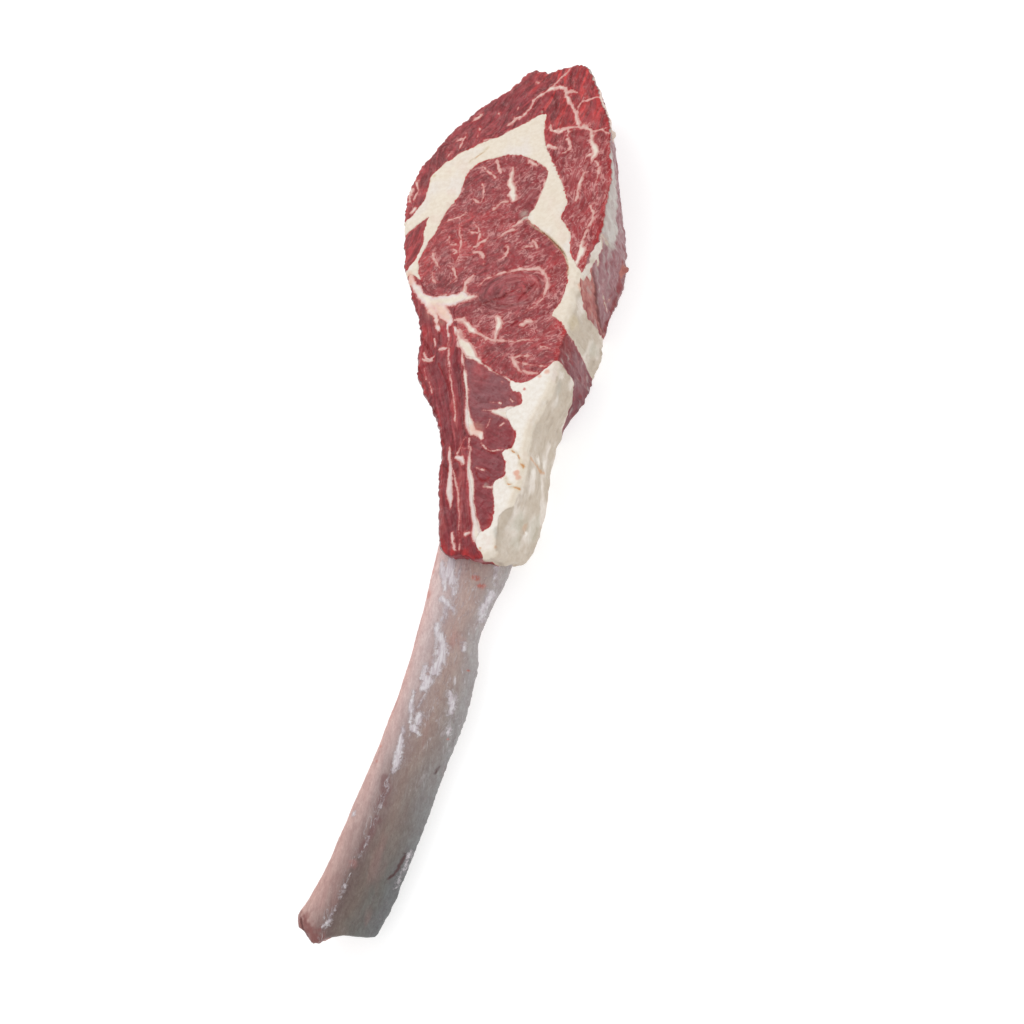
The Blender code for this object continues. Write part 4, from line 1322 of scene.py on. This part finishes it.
def make_bone_material():
    """Scraped bone: its painted colour, mottled, with frayed films and smears of membrane on it."""
    shader = Shader("rib_bone_surface")
    scratches = shader.grain_noise(0.15, 1.2, 5.0, 0.7, 0.6)
    mottle = shader.grain_noise(0.45, 3.2, 4.0, 0.65, 0.8)
    grit = shader.grain_noise(0.6, 0.9, 4.0, 0.7, 0.5)
    smear = shader.step(shader.grain_noise(0.35, 2.6, 5.0, 0.72, 1.6), 0.52, 0.68, 0.0, 0.6)
    pores = shader.place_noise(0.7, 3.0, 0.6)
    fray = shader.times(shader.minus(shader.place_noise(1.8, 5.0, 0.72, 0.9), 0.5), 5.5)
    film = shader.largest(shader.step(shader.plus(shader.attribute("film"), fray), -0.9, 1.0, 0.0, 0.95),
                          shader.times(smear, shader.attribute("smear")))
    colour = shader.attribute("bone", "Color")
    for pattern, dark, light in (
        (shader.step(mottle, 0.3, 0.7), (0.9, 0.85, 0.86), (1.09, 1.12, 1.12)),
        (shader.step(scratches, 0.35, 0.65), (0.95, 0.94, 0.94), (1.05, 1.05, 1.05)),
        (shader.step(grit, 0.35, 0.65), (0.93, 0.91, 0.91), (1.07, 1.08, 1.08)),
    ):
        colour = shader.shaded(colour, pattern, dark, light)
    colour = shader.mix(shader.step(pores, 0.6, 0.76, 0.0, 0.25), colour, BONE_COLOURS["pore"])
    whiter = shader.step(scratches, 0.42, 0.6)
    membrane = shader.mix(whiter, BONE_COLOURS["film"], BONE_COLOURS["film_white"])
    heights = ((scratches, 0.35), (pores, 0.3), (film, 0.5), (mottle, 0.6))
    height = shader.plus(*(shader.times(layer, strength) for layer, strength in heights))
    return shader.finish({
        "Base Color": shader.mix(film, colour, membrane),
        "Roughness": shader.step(mottle, 0.3, 0.7, 0.36, 0.55),
        "Normal": shader.bump(height, 0.0005),
        "Specular IOR Level": 0.35,
    })


def rib_rings():
    """Rings of points round the rib, and the points of its section in the unit square."""
    rows = smooth_curve([(0, *row) for row in RIB_ROWS], RIB_SPACING)
    perimeter = smooth_curve(RIB_SECTION, 0.01, closed=True)
    section = perimeter[np.linspace(0, len(perimeter), RIB_SIDES, endpoint=False).astype(int)]
    rings = []
    for _, y, left, right, low, high in rows:
        x, z = (section * (right - left, high - low) + (left, low)).T
        rings.append(np.column_stack([x, np.full(len(section), y), z]))
    return np.array(rings), section


def rough_rib(rings, across):
    """The rib's rings with shallow lumps, raised films, slits and the knob at the sawn end."""
    flat = rings.reshape(-1, 3)
    x, y, z = flat.T
    around = np.roll(rings, -1, axis=1) - np.roll(rings, 1, axis=1)
    normals = np.stack([-around[..., 2], np.zeros(rings.shape[:2]), around[..., 0]], axis=2)
    normals = normals.reshape(-1, 3)
    normals /= np.linalg.norm(normals, axis=1, keepdims=True)
    push = bumps(flat * (1, 0.3, 1), (0.5, 8, 91), (0.25, 3, 92)) + 0.1 * noise(flat, 1.2, 93)
    push += 0.35 * noise(flat, 1.6, 90) * soft_step(across, 0.85, 0.97)
    push += 0.35 * soft_step(bone_film(flat, across), -0.6, 0.8)
    push -= 0.7 * soft_step(stroke_reach(flat[:, :2], BONE_SLITS), -0.4, 0.3) * (z > SLITS_FROM)
    knob = soft_step(-np.linalg.norm(flat - KNOB, axis=1), -10, -3)
    push += knob * (0.9 + 0.9 * noise(flat, 2.5, 94))
    moved = flat + normals * push[:, None]
    moved[:, 1] += (setback(x, z) + 0.3 * noise(flat, 2.0, 89)) * soft_step(-y, 228, 240)
    return moved.reshape(rings.shape)


def setback(x, z):
    """How far the sawn end stands back from its plane; the knob sticks out only near the top."""
    back = between(x, SAWN_END)
    return np.where(back < 0, back * soft_step(z, 8, 22), back)


def bone_film(points, across):
    """How far inside a patch of film each point of the bone lies, with the crumbly line on the ridge."""
    patches = stroke_reach(points[:, :2], BONE_FILM) + 0.8 * noise(points * (1, 0.6, 1), 2.2, 97)
    line = RIDGE_FILM - BONE_WIDTH * np.abs(across - RIDGE - 0.03 * noise(points, 9, 87))
    line -= 0.5 * soft_step(-points[:, 1], 190, 215)
    line += 1.3 * noise(points * (1, 0.5, 1), 3, 88)
    return np.where(points[:, 2] > FILM_FROM, np.maximum(patches, line), -NEVER)


def bone_smear(points, across):
    """How much smeared membrane each point of the bone has: on the broad slope and along the ridge."""
    _, y, z = points.T
    slope = (0.1 + 0.9 * soft_step(y, -190, -120)) * soft_step(across, 0.3, 0.5)
    ridge = soft_step(-np.abs(across - RIDGE + 0.03), -0.09, -0.02) * soft_step(-y, 120, 170)
    return np.maximum(slope, ridge) * (z > SPOTS_FROM)


def paint_bone(points, across):
    """Colours of the bone: pinkish tan left of the ridge, and right of it a cooler slope with painted
    shade.
    """
    stretched = points * (1, 0.25, 1)
    # Across the bone the tones darken right of the ridge: partly painted shade on that slope.
    shares, *shaded_tones = zip(*BONE_SHADED_TONES)
    wobbly = across + bumps(stretched, (0.05, 7, 95), (0.03, 2.5, 96))
    near, far = (np.column_stack([np.interp(wobbly, shares, channel) for channel in linear(tone).T])
                 for tone in shaded_tones)
    colour = tinted(near, far, (points[:, 1] - BONE_TURN[0]) / (BONE_TURN[1] - BONE_TURN[0]))
    above = points[:, 2] > SPOTS_FROM
    rim = soft_step(0.1 - across, -0.04, 0.08) * soft_step(noise(points * (1, 0.4, 1), 6, 86), -0.1, 0.7)
    streak = stroke_reach(points[:, :2], BONE_STREAKS) + 0.9 * noise(points, 2, 85)
    slit = stroke_reach(points[:, :2], BONE_SLITS) + 0.3 * noise(points, 1.2, 84)
    ragged = 0.35 * noise(points, 1.5, 99)
    tints = [("blush", 0.2 * soft_step(layered_noise(stretched, 7, 98), 0.25, 0.8)),
             ("orange", 0.35 * rim),
             ("streak", 0.6 * soft_step(streak, -1, 1) * above)]
    tints += [(name, strength * above * spot_share(points[:, :2], (x, y), radius, ragged))
              for x, y, radius, name, strength in BONE_SPOTS]
    tints.append(("slit", 0.7 * soft_step(slit, -0.4, 0.2) * (points[:, 2] > SLITS_FROM)))
    for name, share in tints:
        colour = tinted(colour, BONE_COLOURS[name], share)
    return colour


def sawn_end(ring):
    """Smaller and smaller rings that close the sawn end, and their colours from its rim to the marrow."""
    middle = ring.mean(axis=0)
    shares = np.linspace(1, 0, SAWN_END_STEPS + 1)[1:-1]
    cap = np.vstack([middle + (ring - middle) * share for share in shares])
    cap[:, 1] = RIB_ROWS[0][0] + setback(cap[:, 0], cap[:, 2]) + 0.6
    cap[:, 1] += 0.35 * noise(cap, 1.4, 101)
    outward = np.repeat(shares, len(ring)) + 0.06 * noise(cap, 3, 102)
    marrow = soft_step(-outward, -0.82, -0.66)
    return cap, tinted(BONE_COLOURS["cut_rim"], BONE_COLOURS["marrow"], marrow)


def rib_faces(count, body_count):
    """Quads between the rings and triangles to the two points, the last ones, that close the ends."""
    loops = np.arange(count - 2).reshape(-1, RIB_SIDES)
    body_rings = body_count // RIB_SIDES
    order = np.vstack([loops[body_rings:][::-1], loops[:body_rings]])
    after = np.roll(order, -1, axis=1)
    quads = [np.column_stack(sides) for sides in zip(order, after, after[1:], order[1:])]
    start, end = np.full(RIB_SIDES, count - 2), np.full(RIB_SIDES, count - 1)
    fans = [np.column_stack([after[0], order[0], start]), np.column_stack([order[-1], after[-1], end])]
    return quads + fans


def make_bone():
    """The rib as one closed mesh, with its paint as attributes."""
    rings, section = rib_rings()
    across = np.tile(section[:, 0], len(rings))
    rings = rough_rib(rings, across)
    body = rings.reshape(-1, 3)
    cap, cap_colours = sawn_end(rings[0])
    points = np.vstack([body, cap, cap[-RIB_SIDES:].mean(axis=0), rings[-1].mean(axis=0)])
    colours = [paint_bone(body, across), cap_colours, BONE_COLOURS["marrow"], BONE_COLOURS["cut_rim"]]
    ends = np.zeros(len(points) - len(body))
    mesh = make_mesh("rib_bone", placed(points), rib_faces(len(points), len(body)))
    add_attribute(mesh, "film", "FLOAT", np.concatenate([bone_film(body, across), ends - NEVER]))
    add_attribute(mesh, "smear", "FLOAT", np.concatenate([bone_smear(body, across), ends]))
    add_attribute(mesh, "bone", "FLOAT_COLOR", np.vstack(colours))
    add_attribute(mesh, "place", "FLOAT_VECTOR", points)
    add_attribute(mesh, "grain", "FLOAT_VECTOR", points[:, [1, 0, 2]])
    mesh.materials.append(make_bone_material())
    add_piece(mesh, "rib_bone")


def add_camera():
    data = bpy.data.cameras.new("camera")
    data.lens = LENS
    camera = bpy.data.objects.new("camera", data)
    turn = Matrix((CAMERA_RIGHT, CAMERA_UP, CAMERA_BACK)).transposed()
    camera.matrix_world = Matrix.LocRotScale(Vector(CAMERA_PLACE), turn.to_quaternion(), None)
    bpy.context.scene.collection.objects.link(camera)
    bpy.context.scene.camera = camera


def add_light(name, place, size, watts):
    """A square area light that points at the steak."""
    data = bpy.data.lights.new(name, "AREA")
    data.energy = watts
    data.size = size
    light = bpy.data.objects.new(name, data)
    light.location = place
    light.rotation_euler = (-Vector(place)).to_track_quat("-Z", "Y").to_euler()
    bpy.context.scene.collection.objects.link(light)


def add_stage():
    """A pale floor that glows a little, a white world and the lights."""
    bpy.ops.mesh.primitive_plane_add(size=8, location=(0, 0, -0.0003))
    floor = bpy.context.object
    floor.name = "floor"
    shader = Shader("white_floor")
    floor.data.materials.append(shader.finish({
        "Base Color": (0.5, 0.5, 0.5),
        "Roughness": 0.9,
        "Emission Color": (1, 1, 1),
        "Emission Strength": 0.65,
    }))
    world = bpy.data.worlds.new("studio")
    world.use_nodes = True
    background = world.node_tree.nodes["Background"]
    background.inputs["Color"].default_value = (1, 1, 1, 1)
    background.inputs["Strength"].default_value = 0.8
    bpy.context.scene.world = world
    bpy.context.scene.view_settings.view_transform = "Standard"
    for light in LIGHTS:
        add_light(*light)


def main():
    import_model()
    make_meat()
    make_bone()
    add_stage()
    add_camera()


main()
